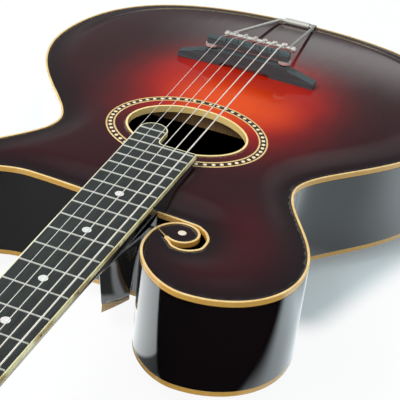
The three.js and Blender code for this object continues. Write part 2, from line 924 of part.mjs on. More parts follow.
function buildBoard() {
  const run = boardRun();
  const inner = insetRun(run, boardBinding + fineGap);
  let board = prism(inner, boardFoot, boardTop);
  for (let n = 1; n <= fretCount; n += 1) board = union(board, fretBar(n));
  dotFretNumbers.forEach((n) => {
    const y = half(fretY(n) + fretY(n - 1));
    const bore = rod(dotRadius + fineGap, boardTop - dotDepth - fineGap, boardTop + overrun);
    board = cut(board, bore.translate(0, y, 0));
    const dot = rod(dotRadius, boardTop - dotDepth, boardTop).translate(0, y, 0);
    place(neckFrame, `position_dot_${n}`, "pearl", dot);
  });
  place(neckFrame, "fingerboard", "ebony", board);
  const strip = [...run, ...insetRun(run, boardBinding).reverse()];
  place(neckFrame, "fingerboard_binding", "ivory", prism(strip, boardFoot, boardTop));
  const wide = boardHalfWidth(nutY);
  const low = boardFoot - gap + fineGap;
  const nutTop = nutAction - stringRadii[0] - gap;
  const nut = prism(
    [
      v2(nutY + gap, low),
      v2(nutY + nutThickness, low),
      v2(nutY + nutThickness, nutTop - nutThickness * nutBackDropShare),
      v2(nutY + nutThickness * nutCrownShare, nutTop - nutThickness * nutCrownDropShare),
      v2(nutY + gap, nutTop),
    ],
    -wide,
    wide,
  );
  const turned = nut.applyMatrix4(
    new THREE.Matrix4().makeBasis(v3(0, 1, 0), v3(0, 0, 1), v3(1, 0, 0)),
  );
  place(neckFrame, "nut", "bone", turned);
}

const shaftEdgeShare = 0.08;

// Section of the neck's shaft: flat above, a soft half oval below
function shaftRing(y, depth, halfWidth) {
  const top = boardFoot - fineGap;
  const edge = depth * shaftEdgeShare;
  const ring = [v3(halfWidth, y, top)];
  for (let i = 0; i <= shaftSideCount; i += 1) {
    const turn = (Math.PI * i) / shaftSideCount;
    const drop = edge + (depth - edge) * Math.sin(turn) ** shaftRoundShare;
    ring.push(v3(halfWidth * Math.cos(turn), y, top - drop));
  }
  ring.push(v3(-halfWidth, y, top));
  return ring;
}

const shaftShares = [0, 0.5, 1];

function buildShaft() {
  const end = nutY + nutThickness + gap;
  const rings = shaftShares.map((share) => {
    const y = end * share;
    const depth = mix(shaftHeelDepth, shaftNutDepth, share);
    return shaftRing(y, depth, boardHalfWidth(Math.min(y, nutY)));
  });
  return loft(rings);
}

// Heel: plan sections at falling heights in the body's frame, a pointed arch on a straight back
const heelShares = [
  [0, 0.8, 1],
  [0.11, 0.5, 0.72],
  [0.21, 0.37, 0.43],
  [0.34, 0.28, 0.25],
  [0.52, 0.15, 0.16],
  [0.77, 0.06, 0.08],
  [1, 0, 0],
];

function heelPlan(halfWidth, reach, z, sharpness) {
  const ring = [];
  const steps = 8;
  for (let i = 0; i <= steps; i += 1) {
    const turn = (Math.PI * i) / steps;
    const x = halfWidth * Math.sign(Math.cos(turn)) * Math.abs(Math.cos(turn)) ** sharpness;
    ring.push(v3(x, reach * Math.sin(turn) ** sharpness, z));
  }
  ring.push(v3(-halfWidth, -2 * jointFretLead, z));
  ring.push(v3(halfWidth, -2 * jointFretLead, z));
  return ring;
}

// The cap's side view: thin at the rim, thicker towards its tip
const capFoot = -bodyDepth - heelCapDrop;
const capBendShare = 0.4;

function capWedge(lift, margin) {
  const tip = heelToeReach + heelCapLip + margin;
  return prism(
    [
      v2(-margin, capFoot - margin),
      v2(tip, capFoot - margin),
      v2(tip, capFoot + heelCapTipThickness + lift),
      v2(tip * capBendShare, capFoot + heelCapThickness + lift),
      v2(-margin, capFoot + heelCapThickness + lift),
    ],
    -heelShoulderHalfWidth,
    heelShoulderHalfWidth,
  ).applyMatrix4(new THREE.Matrix4().makeBasis(v3(0, 1, 0), v3(0, 0, 1), v3(1, 0, 0)));
}

const heelTopDropShare = 1.02;

function buildHeel() {
  const top = fretPlaneRise + boardFoot - shaftHeelDepth * heelTopDropShare;
  const foot = capFoot + half(heelCapThickness);
  const rings = heelShares.map(([dropShare, widthShare, reachShare]) =>
    heelPlan(
      mix(heelHalfWidth, heelShoulderHalfWidth, widthShare),
      mix(heelToeReach, heelShoulderReach, reachShare),
      mix(top, foot, dropShare),
      mix(1, heelSharpnessShare, Math.sqrt(dropShare)),
    ),
  );
  return cut(loft(rings.reverse()), capWedge(gap, 2 * gap));
}

const headStartRiseShare = 0.2;
const headFlareReachShare = 0.55;
const headFlareRiseShare = 0.62;
const headWaistRiseShare = 0.46;
const headCornerDropShare = 1.6;
const headEarReachShare = 0.94;
const headEarDropShare = 0.85;
const headCrownReachShare = 0.6;
const headCrownDropShare = 0.3;

// Headstock plan in its own frame: narrow at the nut, flared to a low arched crown
function headRun(start) {
  const flareReach = mix(headNutHalfWidth, headShoulderHalfWidth, headFlareReachShare);
  const waistReach = mix(headShoulderHalfWidth, headTopHalfWidth, halfShare);
  const crown = (dropShare) => headLength - headCrownRise * dropShare;
  const rightSide = [
    v2(headNutHalfWidth, start),
    v2(headNutHalfWidth, headShoulderRise * headStartRiseShare),
    v2(flareReach, headShoulderRise * headFlareRiseShare),
    v2(headShoulderHalfWidth, headShoulderRise),
    v2(waistReach, headLength * headWaistRiseShare),
    v2(headTopHalfWidth, crown(headCornerDropShare)),
    v2(headTopHalfWidth * headEarReachShare, crown(headEarDropShare)),
    v2(headTopHalfWidth * headCrownReachShare, crown(headCrownDropShare)),
    v2(0, headLength),
  ];
  const leftSide = rightSide.slice(0, -1).reverse();
  return [...rightSide, ...leftSide.map((p) => v2(-p.x, p.y))];
}

const postPlaces = [];
for (const side of [-1, 1]) {
  for (let k = 0; k < half(stringCount); k += 1) {
    postPlaces.push({ side, k, x: side * postReach, y: firstPostRise + k * postSpacing });
  }
}

function buildNeck() {
  const slab = prism(headRun(0), -headThickness, 0).applyMatrix4(headToNeck);
  const heel = buildHeel().applyMatrix4(bodyToNeck);
  const riserWidth = boardHalfWidth(boardEndY) - boardBinding;
  const riser = box(
    v3(-riserWidth, -riserLength, boardFoot - shaftHeelDepth),
    v3(riserWidth, jointFretLead, boardFoot - fineGap),
  );
  const whole = union(buildShaft(), slab, heel, riser);
  const behindRim = box(
    v3(-lowerBout, -2 * bodyLength, -2 * bodyDepth),
    v3(lowerBout, gap, 2 * bodyDepth),
  );
  const clearance = common(topClearance(), behindRim).applyMatrix4(bodyToNeck);
  const bores = postPlaces.map(({ x, y }) => {
    const bore = rod(postBore, -headThickness - overrun, overrun, boreSideCount);
    return bore.translate(x, y, 0).applyMatrix4(headToNeck);
  });
  place(neckFrame, "neck", "blackLacquer", cut(whole, clearance, ...bores));

  const capHalfWidth = heelHalfWidth + half(heelCapLip);
  const capTip = heelToeReach + heelCapLip;
  const capPlan = heelPlan(capHalfWidth, capTip, 0, heelSharpnessShare)
    .slice(0, -2)
    .map((p) => v2(p.x, Math.max(p.y, gap)));
  const capBlank = prism(capPlan, capFoot, capFoot + heelCapTipThickness);
  place(body, "heel_cap", "ivory", common(capBlank, capWedge(0, 0)));

  const overlayBores = postPlaces.map(({ x, y }) =>
    rod(postBore, -overrun, overrun, boreSideCount).translate(x, y, 0),
  );
  const overlay = prism(headRun(gap), fineGap, overlayThickness);
  place(headFrame, "headstock_overlay", "ebony", cut(overlay, ...overlayBores));
}

// Tuning machines, three to a plate behind the headstock
const plateTop = -headThickness - gap;
const plateFoot = plateTop - tunerPlateThickness;
const gearPitchRadius = (wormPitch * toothCount) / (2 * Math.PI);
const keyDrop = plateFoot - gap - wormRadius;
const gearRadius = gearPitchRadius + half(toothDepth);
const keyOffset = gearRadius + wormRadius - toothDepth + meshClearance;
const wormLength = wormTurnCount * wormPitch;
const earReach = half(wormLength) + gap + half(earThickness);

const toothCrestShare = 0.12;

function gearOutline() {
  const points = [];
  for (let tooth = 0; tooth < toothCount; tooth += 1) {
    const at = (share, radius) => {
      const turn = (2 * Math.PI * (tooth + share)) / toothCount + half(Math.PI);
      points.push(v2(radius * Math.cos(turn), radius * Math.sin(turn)));
    };
    at(-toothCrestShare, gearRadius);
    at(toothCrestShare, gearRadius);
    at(halfShare, gearRadius - toothDepth);
  }
  return points;
}

const threadWidthShare = 0.62;

// The worm on its shaft: rings of a core whose radius follows a helical thread
function keyShaft(side) {
  const sides = 8;
  const ringsPerTurn = 4;
  const lead = side > 0 ? 0 : halfShare;
  const core = wormRadius - toothDepth;
  const rings = [];
  const ring = (x, radiusAt) => {
    const points = [];
    for (let i = 0; i < sides; i += 1) {
      const turn = (2 * Math.PI * i) / sides;
      const radius = radiusAt(turn);
      points.push(v3(x, radius * Math.cos(turn), radius * Math.sin(turn)));
    }
    rings.push(points);
  };
  const plain = () => keyShaftRadius;
  const end = earReach + half(earThickness) + gap;
  ring(-end, plain);
  ring(-half(wormLength) - fineGap, plain);
  const steps = wormTurnCount * ringsPerTurn;
  for (let i = 0; i <= steps; i += 1) {
    const x = -half(wormLength) + (wormLength * i) / steps;
    const fade = i === 0 || i === steps ? 0 : 1;
    ring(x, (turn) => {
      const phase = x / wormPitch - turn / (2 * Math.PI) + lead;
      const crest = Math.abs(phase - Math.round(phase)) * 2;
      return core + toothDepth * fade * Math.max(0, 1 - crest / threadWidthShare);
    });
  }
  ring(half(wormLength) + fineGap, plain);
  ring(keyShaftReach - postReach, plain);
  const geometry = loft(rings);
  return side > 0 ? geometry : geometry.rotateZ(Math.PI);
}

// Each entry is a share of the post's height above the headstock and one of its radius
const postShares = [
  [0.36, 1],
  [0.5, 0.72],
  [0.66, 0.72],
  [0.8, 1],
  [1, 1],
];
const buttonSeatShare = 0.3;
const plateCornerShare = 0.6;

function buildTuners() {
  postPlaces.forEach(({ side, k, x, y }) => {
    const name = side < 0 ? `bass_${k + 1}` : `treble_${k + 1}`;
    const post = new THREE.Group();
    post.position.set(x, y, 0);
    headFrame.add(post);
    const stemProfile = [
      v2(0, keyDrop),
      v2(postRadius, keyDrop),
      ...postShares.map(([heightShare, radiusShare]) =>
        v2(postRadius * radiusShare, overlayThickness + postHeight * heightShare),
      ),
      v2(0, overlayThickness + postHeight),
    ];
    const stem = new THREE.LatheGeometry(stemProfile, boreSideCount).rotateX(half(Math.PI));
    const gearFoot = keyDrop - half(gearThickness);
    const gear = prism(gearOutline(), gearFoot, gearFoot + gearThickness);
    place(post, `string_post_${name}`, "nickel", union(stem, gear));

    const key = new THREE.Group();
    key.position.set(x, y + keyOffset, keyDrop);
    headFrame.add(key);
    place(key, `worm_shaft_${name}`, "nickel", keyShaft(side));
    const knob = new THREE.SphereGeometry(1, 10, 6);
    knob.rotateZ(half(Math.PI)).scale(half(buttonLength), buttonHalfThickness, buttonHalfHeight);
    const shaftEnd = keyShaftReach - postReach;
    const seat = shaftEnd + half(buttonLength) * buttonSeatShare;
    const bore = rod(keyShaftRadius + fineGap, -overrun, shaftEnd + fineGap, boreSideCount);
    const button = cut(knob.translate(seat, 0, 0), bore.rotateY(half(Math.PI)));
    if (side < 0) button.rotateZ(Math.PI);
    place(key, `button_${name}`, "ivory", button);
  });

  for (const side of [-1, 1]) {
    const first = firstPostRise - plateOverhang;
    const last = firstPostRise + 2 * postSpacing + plateOverhang + half(keyOffset);
    const wide = half(plateWidth);
    const corner = wide * plateCornerShare;
    const plan = [
      v2(-wide, first + corner),
      v2(-wide + corner, first),
      v2(wide - corner, first),
      v2(wide, first + corner),
      v2(wide, last - corner),
      v2(wide - corner, last),
      v2(-wide + corner, last),
      v2(-wide, last - corner),
    ];
    let plate = prism(plan, plateFoot, plateTop);
    postPlaces
      .filter((each) => each.side === side)
      .forEach(({ y }) => {
        const keyY = y + keyOffset;
        for (const end of [-1, 1]) {
          const ear = box(
            v3(end * earReach - half(earThickness), keyY - half(earWidth), keyDrop - wormRadius),
            v3(end * earReach + half(earThickness), keyY + half(earWidth), plateFoot + half(gap)),
          );
          plate = union(plate, ear);
        }
        const boreReach = half(plateWidth) + gap;
        const shaftBore = rod(keyShaftRadius + fineGap, -boreReach, boreReach, boreSideCount);
        shaftBore.rotateY(half(Math.PI)).translate(0, keyY, keyDrop);
        const hole = rod(postBore, plateFoot - gap, plateTop + gap, boreSideCount).translate(0, y, 0);
        plate = cut(plate, shaftBore, hole);
      });
    const name = side < 0 ? "bass_tuner_plate" : "treble_tuner_plate";
    place(headFrame, name, "nickel", plate).position.x = side * postReach;
  }
}

// Bridge, standing square on the top under the saddle line
const saddlePoint = v3(0, saddleY, saddleAction).applyMatrix4(neckToBody);
const bridgeY = saddlePoint.y;
const bridgeFoot = topHeight(0, bridgeY);
const blockTop = bridgeFoot + bridgeBlockHeight;
const wheelFoot = blockTop + wheelLift;
const saddleFoot = wheelFoot + wheelThickness + gap;
const wheelReach = half(wheelSpan);
const stringX = (spread, i) => spread * (i / (stringCount - 1) - halfShare);
const saddleTopPoint = (i) =>
  v3(stringX(saddleSpread, i), saddleY - compensation[i], saddleAction).applyMatrix4(neckToBody);

// Each entry is a share of the foot arch's half length and one of its height
const bridgeArchShares = [
  [0.72, 1],
  [0.94, 0.5],
];
const bridgeTipShare = 0.82;
const bridgeTipRoundShare = 0.16;
const bridgeTipCrownShare = 0.92;

// Each entry is a share of the way from the tip in to the block and one of the way up to its top
const bridgeWingShares = [
  [0.55, 0.62],
  [0.9, 0.74],
  [1, 0.82],
];

function buildBridge() {
  const mirror = (points) => [...points, ...points.map((p) => v2(-p.x, p.y)).reverse()];
  const tip = half(bridgeLength);
  const blockEnd = half(bridgeBlockLength);
  const archEnd = half(bridgeArchLength);
  const roundReach = tip - bridgeThickness * bridgeTipRoundShare;
  const profile = mirror([
    ...bridgeArchShares.map(([reachShare, riseShare]) =>
      v2(archEnd * reachShare, bridgeFoot + bridgeArchHeight * riseShare),
    ),
    v2(archEnd, bridgeFoot - bridgeFit),
    v2(tip, bridgeFoot - bridgeFit),
    v2(tip, bridgeFoot + bridgeTipHeight * bridgeTipShare),
    v2(roundReach, bridgeFoot + bridgeTipHeight * bridgeTipCrownShare),
    ...bridgeWingShares.map(([reachShare, riseShare]) =>
      v2(mix(tip, blockEnd, reachShare), mix(bridgeFoot, blockTop, riseShare)),
    ),
    v2(blockEnd, blockTop),
  ]);
  const blank = slabAcross(profile, bridgeThickness).translate(0, bridgeY, 0);
  const studFoot = blockTop - studSeat;
  const bores = [-1, 1].map((side) => {
    const bore = rod(studRadius + fineGap, studFoot - gap, blockTop + gap, 10);
    return bore.translate(side * wheelReach, bridgeY, 0);
  });
  place(body, "bridge_base", "ebony", cut(blank, topClearance(), ...bores));

  const shoulder = saddleFoot + saddleShoulderHeight;
  const trunk = slabAcross(
    [
      v2(-half(saddleLength), saddleFoot),
      v2(half(saddleLength), saddleFoot),
      v2(half(saddleLength), shoulder),
      v2(-half(saddleLength), shoulder),
    ],
    saddleThickness,
  ).translate(0, bridgeY, 0);
  const pitch = saddleSpread / (stringCount - 1);
  const crests = stringRadii.map((radius, i) => {
    const at = saddleTopPoint(i);
    const left = i === 0 ? -half(saddleLength) : at.x - half(pitch);
    const right = i === stringCount - 1 ? half(saddleLength) : at.x + half(pitch);
    return box(
      v3(left, at.y - half(saddleCrestThickness), shoulder - gap),
      v3(right, at.y + half(saddleCrestThickness), at.z - radius - gap),
    );
  });
  const sockets = [-1, 1].map((side) => {
    const socket = rod(studRadius + gap, saddleFoot - gap, saddleFoot + studEngagement - gap, 10);
    return socket.translate(side * wheelReach, bridgeY, 0);
  });
  place(body, "bridge_saddle", "ebony", cut(union(trunk, ...crests), ...sockets));

  for (const side of [-1, 1]) {
    const name = side < 0 ? "bass" : "treble";
    const wheel = cut(
      rod(wheelRadius, wheelFoot, wheelFoot + wheelThickness, 20),
      rod(wheelBore, wheelFoot - gap, wheelFoot + wheelThickness + gap, 10),
    );
    place(body, `thumbwheel_${name}`, "nickel", wheel.translate(side * wheelReach, bridgeY, 0));
    const stud = rod(studRadius, studFoot, saddleFoot + studEngagement - studRadius, 8);
    place(body, `bridge_stud_${name}`, "nickel", stud.translate(side * wheelReach, bridgeY, 0));
  }
}

// Tailpiece: a crossbar for the string ends, a bent wire and a bracket over the tail edge
const barY = bridgeY - barFromSaddle;
const knuckleY = -bodyLength + knuckleFromEdge;

// Each entry is a share of an end ball's radius and one of its reach past the bar
const ballShares = [
  [0.7, 0.3],
  [1, 1],
  [0.7, 1.7],
  [0, 2],
];

// Each entry is a share of the end pin's radius and one of its length
const endPinShares = [
  [0, 0],
  [0.75, 0],
  [0.5, 0.4],
  [0.75, 0.62],
  [1, 0.85],
  [0.6, 1],
  [0, 1],
];

function buildTailpiece() {
  const ball = ballShares.map(([radiusShare, reachShare]) =>
    v2(barBallRadius * radiusShare, barHalfLength + barBallRadius * reachShare),
  );
  const farHalf = [v2(barRadius, barHalfLength), ...ball];
  const nearHalf = farHalf.map((p) => v2(p.x, -p.y)).reverse();
  const turned = new THREE.LatheGeometry([...nearHalf, ...farHalf], 8);
  turned.rotateZ(-half(Math.PI)).translate(0, barY, barRise);
  const pins = stringRadii.map((radius, i) => {
    const pin = rod(pinRadius, barRise, barRise + barRadius + pinHeight, 6);
    return pin.translate(stringX(barSpread, i), barY, 0);
  });
  place(body, "tailpiece_crossbar", "nickel", union(turned, ...pins));

  const back = barY - barRadius - wireRadius - gap;
  const bend = 2 * wireRadius;
  const leg = (side) => [
    v3(side * wireTopHalfSpan, back, barRise),
    v3(side * (wireTailHalfSpan + half(bend)), knuckleY + bend, knuckleRise + half(wireRadius)),
    v3(side * (wireTailHalfSpan - half(bend)), knuckleY, knuckleRise),
  ];
  const path = [...leg(-1), ...leg(1).reverse()];
  place(body, "tailpiece_wire", "nickel", wire(path, wireRadius, 8));

  const inner = [
    v2(knuckleY - half(knuckleRadius), knuckleRise - knuckleRadius + half(gap)),
    v2(-bodyLength - gap, gap + fineGap),
    v2(-bodyLength - gap, -bracketDrop),
  ];
  const outer = insetRun(inner, -bracketThickness).reverse();
  const fold = prism([...inner, ...outer], -half(bracketWidth), half(bracketWidth)).applyMatrix4(
    new THREE.Matrix4().makeBasis(v3(0, 1, 0), v3(0, 0, 1), v3(1, 0, 0)),
  );
  const knuckleHalf = wireTailHalfSpan - 2 * wireRadius - gap;
  const knuckle = rod(knuckleRadius, -knuckleHalf, knuckleHalf).rotateY(half(Math.PI));
  knuckle.translate(0, knuckleY, knuckleRise);
  const bore = rod(wireRadius + gap, -overrun, overrun).rotateY(half(Math.PI));
  bore.translate(0, knuckleY, knuckleRise);
  const cornerCuts = [-1, 1].map((side) => {
    const near = side * (knuckleHalf + gap);
    const low = v3(Math.min(near, side * overrun), knuckleY - 2 * knuckleRadius, 0);
    const high = v3(Math.max(near, side * overrun), knuckleY + overrun, overrun);
    return box(low, high);
  });
  const pinProfile = endPinShares.map(([radiusShare, lengthShare]) =>
    v2(endPinRadius * radiusShare, endPinLength * lengthShare),
  );
  const endPin = new THREE.LatheGeometry(pinProfile, 12).rotateX(Math.PI);
  endPin.translate(0, -bodyLength - gap - half(bracketThickness), -endPinDrop);
  const bracket = union(cut(fold, ...cornerCuts), knuckle, endPin);
  place(body, "tail_bracket", "nickel", cut(bracket, bore));
}

const windHeightShare = 0.58;
const woundCount = 4;

// Strings, from the crossbar over saddle and nut to the posts
function buildStrings() {
  stringRadii.forEach((radius, i) => {
    const side = i < half(stringCount) ? -1 : 1;
    const k = side < 0 ? i : stringCount - 1 - i;
    const lift = radius + gap;
    const post = v3(
      side * (postReach - postRadius - lift),
      firstPostRise + k * postSpacing,
      overlayThickness + postHeight * windHeightShare,
    ).applyMatrix4(headToBody);
    const nutPoint = v3(stringX(nutSpread, i), nutY + half(half(nutThickness)), nutAction);
    const path = [
      v3(stringX(barSpread, i), barY + pinRadius + gap, barRise + barRadius + lift),
      saddleTopPoint(i),
      nutPoint.applyMatrix4(neckToBody),
      post,
    ];
    const finish = i < woundCount ? "wound" : "plain";
    place(body, `string_${stringCount - i}`, finish, wire(path, radius, 6));
  });
}

buildPlates();
buildRim();
buildInside();
buildBoard();
buildNeck();
buildTuners();
buildBridge();
buildTailpiece();
buildStrings();

body.position.set(0, -crownY, bodyDepth + backArch - restFlatDepth);

export default model;
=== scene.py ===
"""Looks of a scroll-bodied carved-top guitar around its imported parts. Metres, +Z up."""

from math import copysign, cos, exp, pi, radians, sin, sqrt

import bmesh
import bpy
import numpy as np
from mathutils import Matrix, Vector
from mathutils.geometry import delaunay_2d_cdt


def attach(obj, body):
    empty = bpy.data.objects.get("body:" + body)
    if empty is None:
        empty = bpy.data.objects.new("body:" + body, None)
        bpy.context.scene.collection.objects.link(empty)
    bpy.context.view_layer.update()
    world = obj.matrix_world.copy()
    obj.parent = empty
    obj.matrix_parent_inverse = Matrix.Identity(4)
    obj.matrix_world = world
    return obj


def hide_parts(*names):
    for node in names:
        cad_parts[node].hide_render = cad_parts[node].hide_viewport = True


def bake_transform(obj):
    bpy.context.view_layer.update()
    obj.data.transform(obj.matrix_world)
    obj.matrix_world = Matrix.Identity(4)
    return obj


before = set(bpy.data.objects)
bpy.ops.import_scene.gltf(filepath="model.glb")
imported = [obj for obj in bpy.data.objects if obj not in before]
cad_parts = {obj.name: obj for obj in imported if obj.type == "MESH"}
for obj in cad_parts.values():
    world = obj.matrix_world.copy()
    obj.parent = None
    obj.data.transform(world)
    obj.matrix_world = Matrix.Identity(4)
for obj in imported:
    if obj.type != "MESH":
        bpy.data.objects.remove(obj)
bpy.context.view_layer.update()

# Shapes are in millimetres in the body's, neck's or headstock's own frame; the stage is in metres
MM = 0.001
ROOT = "instrument"
SIDES = {"bass": -1, "treble": 1}
SEAM = 0.02  # keeps two faces that meet out of one plane

SCALE_LENGTH = 635
JOINT_FRET, FULL_FRETS, FRETS = 15, 20, 22
NUT_Y = SCALE_LENGTH * (1 - 2 ** (-JOINT_FRET / 12))
SADDLE_Y = NUT_Y - SCALE_LENGTH
HEAD_Y = NUT_Y + 5.3
BODY_LENGTH, BODY_DEPTH = 456, 83
BINDING_WIDTH, BINDING_HEIGHT = 2.1, 4.5
BOARD_TOP, BOARD_FOOT = -1.0, -7.0
NECK_RISE, NECK_PITCH, HEAD_PITCH = 13.5, -4.5, -15.5


def shift(x, y, z):
    return Matrix.Translation((x, y, z))


def pitched(degrees):
    return Matrix.Rotation(radians(degrees), 4, "X")


BODY = shift(0, 0.256, 0.098) @ Matrix.Diagonal((MM, MM, MM, 1))
NECK = BODY @ shift(0, 1.1, NECK_RISE) @ pitched(NECK_PITCH)
HEAD = NECK @ shift(0, HEAD_Y, BOARD_FOOT - 0.8) @ pitched(HEAD_PITCH)
NECK_TO_BODY = BODY.inverted() @ NECK
HEAD_TO_BODY = BODY.inverted() @ HEAD
TIPPED = pitched(90)
LAID = Matrix.Rotation(pi / 2, 4, "Y")  # turns a lathe's axis along x


def mix(a, b, share):
    return a + (b - a) * share


def mix_colour(a, b, share):
    return tuple(mix(p, q, share) for p, q in zip(a, b))


def shares(steps):
    """Even steps from 0 to 1."""
    return [k / steps for k in range(steps + 1)]


def polar(reach, turn, middle=(0, 0)):
    return np.array((middle[0] + reach * cos(turn), middle[1] + reach * sin(turn)))


# Finishes


class Wire:
    """What runs out of one socket of a finish, with arithmetic on it."""

    def __init__(self, finish, socket):
        self.finish = finish
        self.socket = socket

    def math(self, operation, *values):
        return self.finish.node("Math", dict(enumerate(values)), operation=operation)

    def __add__(self, other):
        return self.math("ADD", self, other)

    def __sub__(self, other):
        return self.math("SUBTRACT", self, other)

    def __rsub__(self, other):
        return self.math("SUBTRACT", other, self)

    def __mul__(self, other):
        return self.math("MULTIPLY", self, other)

    def __truediv__(self, other):
        return self.math("DIVIDE", self, other)

    def __pow__(self, other):
        return self.math("POWER", self, other)

    __radd__ = __add__

    def clamped(self):
        return self.finish.node("Clamp", {0: self})

    def rising(self, low, high):
        """0 below low, 1 above high and smooth between."""
        values = {0: self, 1: low, 2: high}
        return self.finish.node("MapRange", values, interpolation_type="SMOOTHSTEP")

    def falling(self, low, high):
        return 1 - self.rising(low, high)

    def within(self, rise, fall):
        """Up smoothly over the first stretch and down again over the second."""
        return self.rising(*rise) * self.falling(*fall)


class Finish:
    """A material built up from nodes."""

    GLOW, OUTPUT = "Emission", "Material Output"

    def __init__(self, name, slot, **surface):
        self.slot = slot
        self.material = bpy.data.materials.new(name)
        self.material.use_nodes = True
        self.tree = self.material.node_tree
        self.surface = self.tree.nodes["Principled BSDF"]
        self.set(**surface)

    def set(self, **sockets):
        for socket, value in sockets.items():
            self.join(self.surface.inputs[socket.replace("_", " ")], value)
        return self

    def join(self, socket, value):
        if isinstance(value, Wire):
            self.tree.links.new(value.socket, socket)
        else:
            socket.default_value = value

    def node(self, kind, values=(), output=0, **settings):
        made = self.tree.nodes.new("ShaderNode" + kind)
        for name, value in settings.items():
            setattr(made, name, value)
        for key, value in dict(values).items():
            self.join(made.inputs[key], value)
        return Wire(self, made.outputs[output])

    def place(self):
        return self.node("TexCoord", output="Object")

    def axis(self, name):
        return self.node("SeparateXYZ", {0: self.place()}, name)

    def facing_up(self):
        """1 where the surface looks up, 0 on a side."""
        normal = self.node("NewGeometry", output="Normal")
        return self.node("SeparateXYZ", {0: normal}, "Z").clamped()

    def noise(self, scale, detail=3, stretch=(1, 1, 1), roughness=0.5):
        spread = self.node("Mapping", {"Vector": self.place(), "Scale": stretch})
        values = {"Vector": spread, "Scale": scale, "Detail": detail, "Roughness": roughness}
        return self.node("TexNoise", values)

    def ramp(self, factor, stops):
        made = self.node("ValToRGB", {0: factor})
        elements = made.socket.node.color_ramp.elements
        while len(elements) < len(stops):
            elements.new(1)
        for stop, (at, colour) in zip(elements, stops):
            stop.position = at
            stop.color = (*colour, 1)
        return made

    def blend(self, factor, first, second):
        values = {0: factor}
        for key, colour in ((6, first), (7, second)):
            values[key] = colour if isinstance(colour, Wire) else (*colour, 1)
        return self.node("Mix", values, 2, data_type="RGBA")

    def relief(self, height, distance, strength=1):
        values = {"Height": height, "Distance": distance, "Strength": strength}
        return self.set(Normal=self.node("Bump", values))

    def glow(self, strength, colour=(1, 1, 1)):
        return self.node(self.GLOW, {"Color": (*colour, 1), "Strength": strength})

    def ray(self, kind):
        """1 for the camera's or the mirrors' rays, 0 for all others."""
        return self.node("LightPath", output="Is %s Ray" % kind)

    def either(self, share, first, second):
        return self.node("MixShader", {0: share, 1: first, 2: second})

    def end(self, shader):
        self.join(self.tree.nodes[self.OUTPUT].inputs["Surface"], shader)


class Room(Finish):
    """The studio around the object, built up from nodes."""

    GLOW, OUTPUT = "Background", "World Output"

    def __init__(self, world):
        self.tree = world.node_tree


BURST_STOPS = [
    (0.0, (0.46, 0.019, 0.004)),
    (0.36, (0.43, 0.014, 0.004)),
    (0.46, (0.35, 0.009, 0.005)),
    (0.56, (0.21, 0.006, 0.006)),
    (0.66, (0.10, 0.005, 0.007)),
    (0.78, (0.044, 0.0045, 0.007)),
    (0.92, (0.026, 0.0035, 0.0065)),
]
BURST_HEART, BURST_EMBER = (0.76, 0.070, 0.004), (0.062, 0.004, 0.007)
BURST_EDGE = (0.006, 0.0025, 0.004)
BLACK_STOPS = [(0.3, (0.0035, 0.003, 0.0035)), (0.75, (0.009, 0.005, 0.0055))]
WOOD_STOPS = [(0.3, (0.26, 0.13, 0.05)), (0.5, (0.36, 0.20, 0.085)), (0.72, (0.42, 0.26, 0.12))]
BONE_STOPS = [(0.3, (0.70, 0.62, 0.46)), (0.7, (0.80, 0.74, 0.60))]
PEARL_STOPS = [
    (0.3, (0.62, 0.72, 0.74)),
    (0.48, (0.86, 0.86, 0.82)),
    (0.62, (0.84, 0.76, 0.78)),
    (0.78, (0.72, 0.84, 0.80)),
]
# Painted light and shade: a lit tone for the top of the board's binding and a shaded tone for its
# sides.
BINDING_SHADED_SIDE, BINDING_LIT_TOP = (0.88, 0.80, 0.44), (0.86, 0.82, 0.50)
BINDING_STAIN = (0.33, 0.17, 0.045)
# The lower edge of the board's binding: a dark tone as painted shade beside the body, and its own
# pale tone further out.
EDGE_FOOT_SHADE, EDGE_FOOT_PALE = (0.016, 0.020, 0.020), (0.60, 0.58, 0.42)
NICKEL_HAZE, STRING_SMEAR = (0.36, 0.33, 0.27), (0.6, 0.46, 0.34)


def from_mark(finish, x, y, wide, long):
    """How far a point is from a mark on the plan, 1 at the rim of an ellipse round it."""
    across = (finish.axis("X") - x * MM) / (wide * MM)
    along = (finish.axis("Y") - y * MM) / (long * MM)
    return (across * across + along * along) ** 0.5


def sunburst_lacquer():
    finish = Finish("sunburst_lacquer", "carved_top", Roughness=0.12)
    grain = finish.noise(1.0, 4, (900, 16, 60), 0.6)
    cloud = finish.noise(14)
    drift = from_mark(finish, -8, 42, 150, 176) + (grain - 0.5) * 0.06 + (cloud - 0.5) * 0.16
    heart = (from_mark(finish, -16, 68, 80, 58) + (cloud - 0.5) * 0.2).falling(0.1, 1.0)
    ember = from_mark(finish, -92, 262, 46, 70).falling(0.1, 1.0)
    edge = finish.node("Attribute", output="Fac", attribute_name="rim_reach")
    tone = finish.blend(heart, finish.ramp(drift, BURST_STOPS), BURST_HEART)
    tone = finish.blend(ember * 0.55, tone, BURST_EMBER)
    finish.set(Base_Color=finish.blend(edge.falling(2, 34) * 0.9, tone, BURST_EDGE))
    return finish.relief(finish.noise(9, 2, (6, 1, 1)), 0.00025)


def black_lacquer():
    coat = {"Coat_Weight": 1.0, "Coat_Roughness": 0.03, "Coat_IOR": 1.6}
    finish = Finish("black_lacquer", "black_lacquer", **coat)
    tone = finish.ramp(finish.noise(7, 3, (1, 1, 0.3)), BLACK_STOPS)
    finish.set(Base_Color=tone, Roughness=finish.noise(40, 2) * 0.05 + 0.05)
    return finish.relief(finish.noise(5, 2), 0.0006)


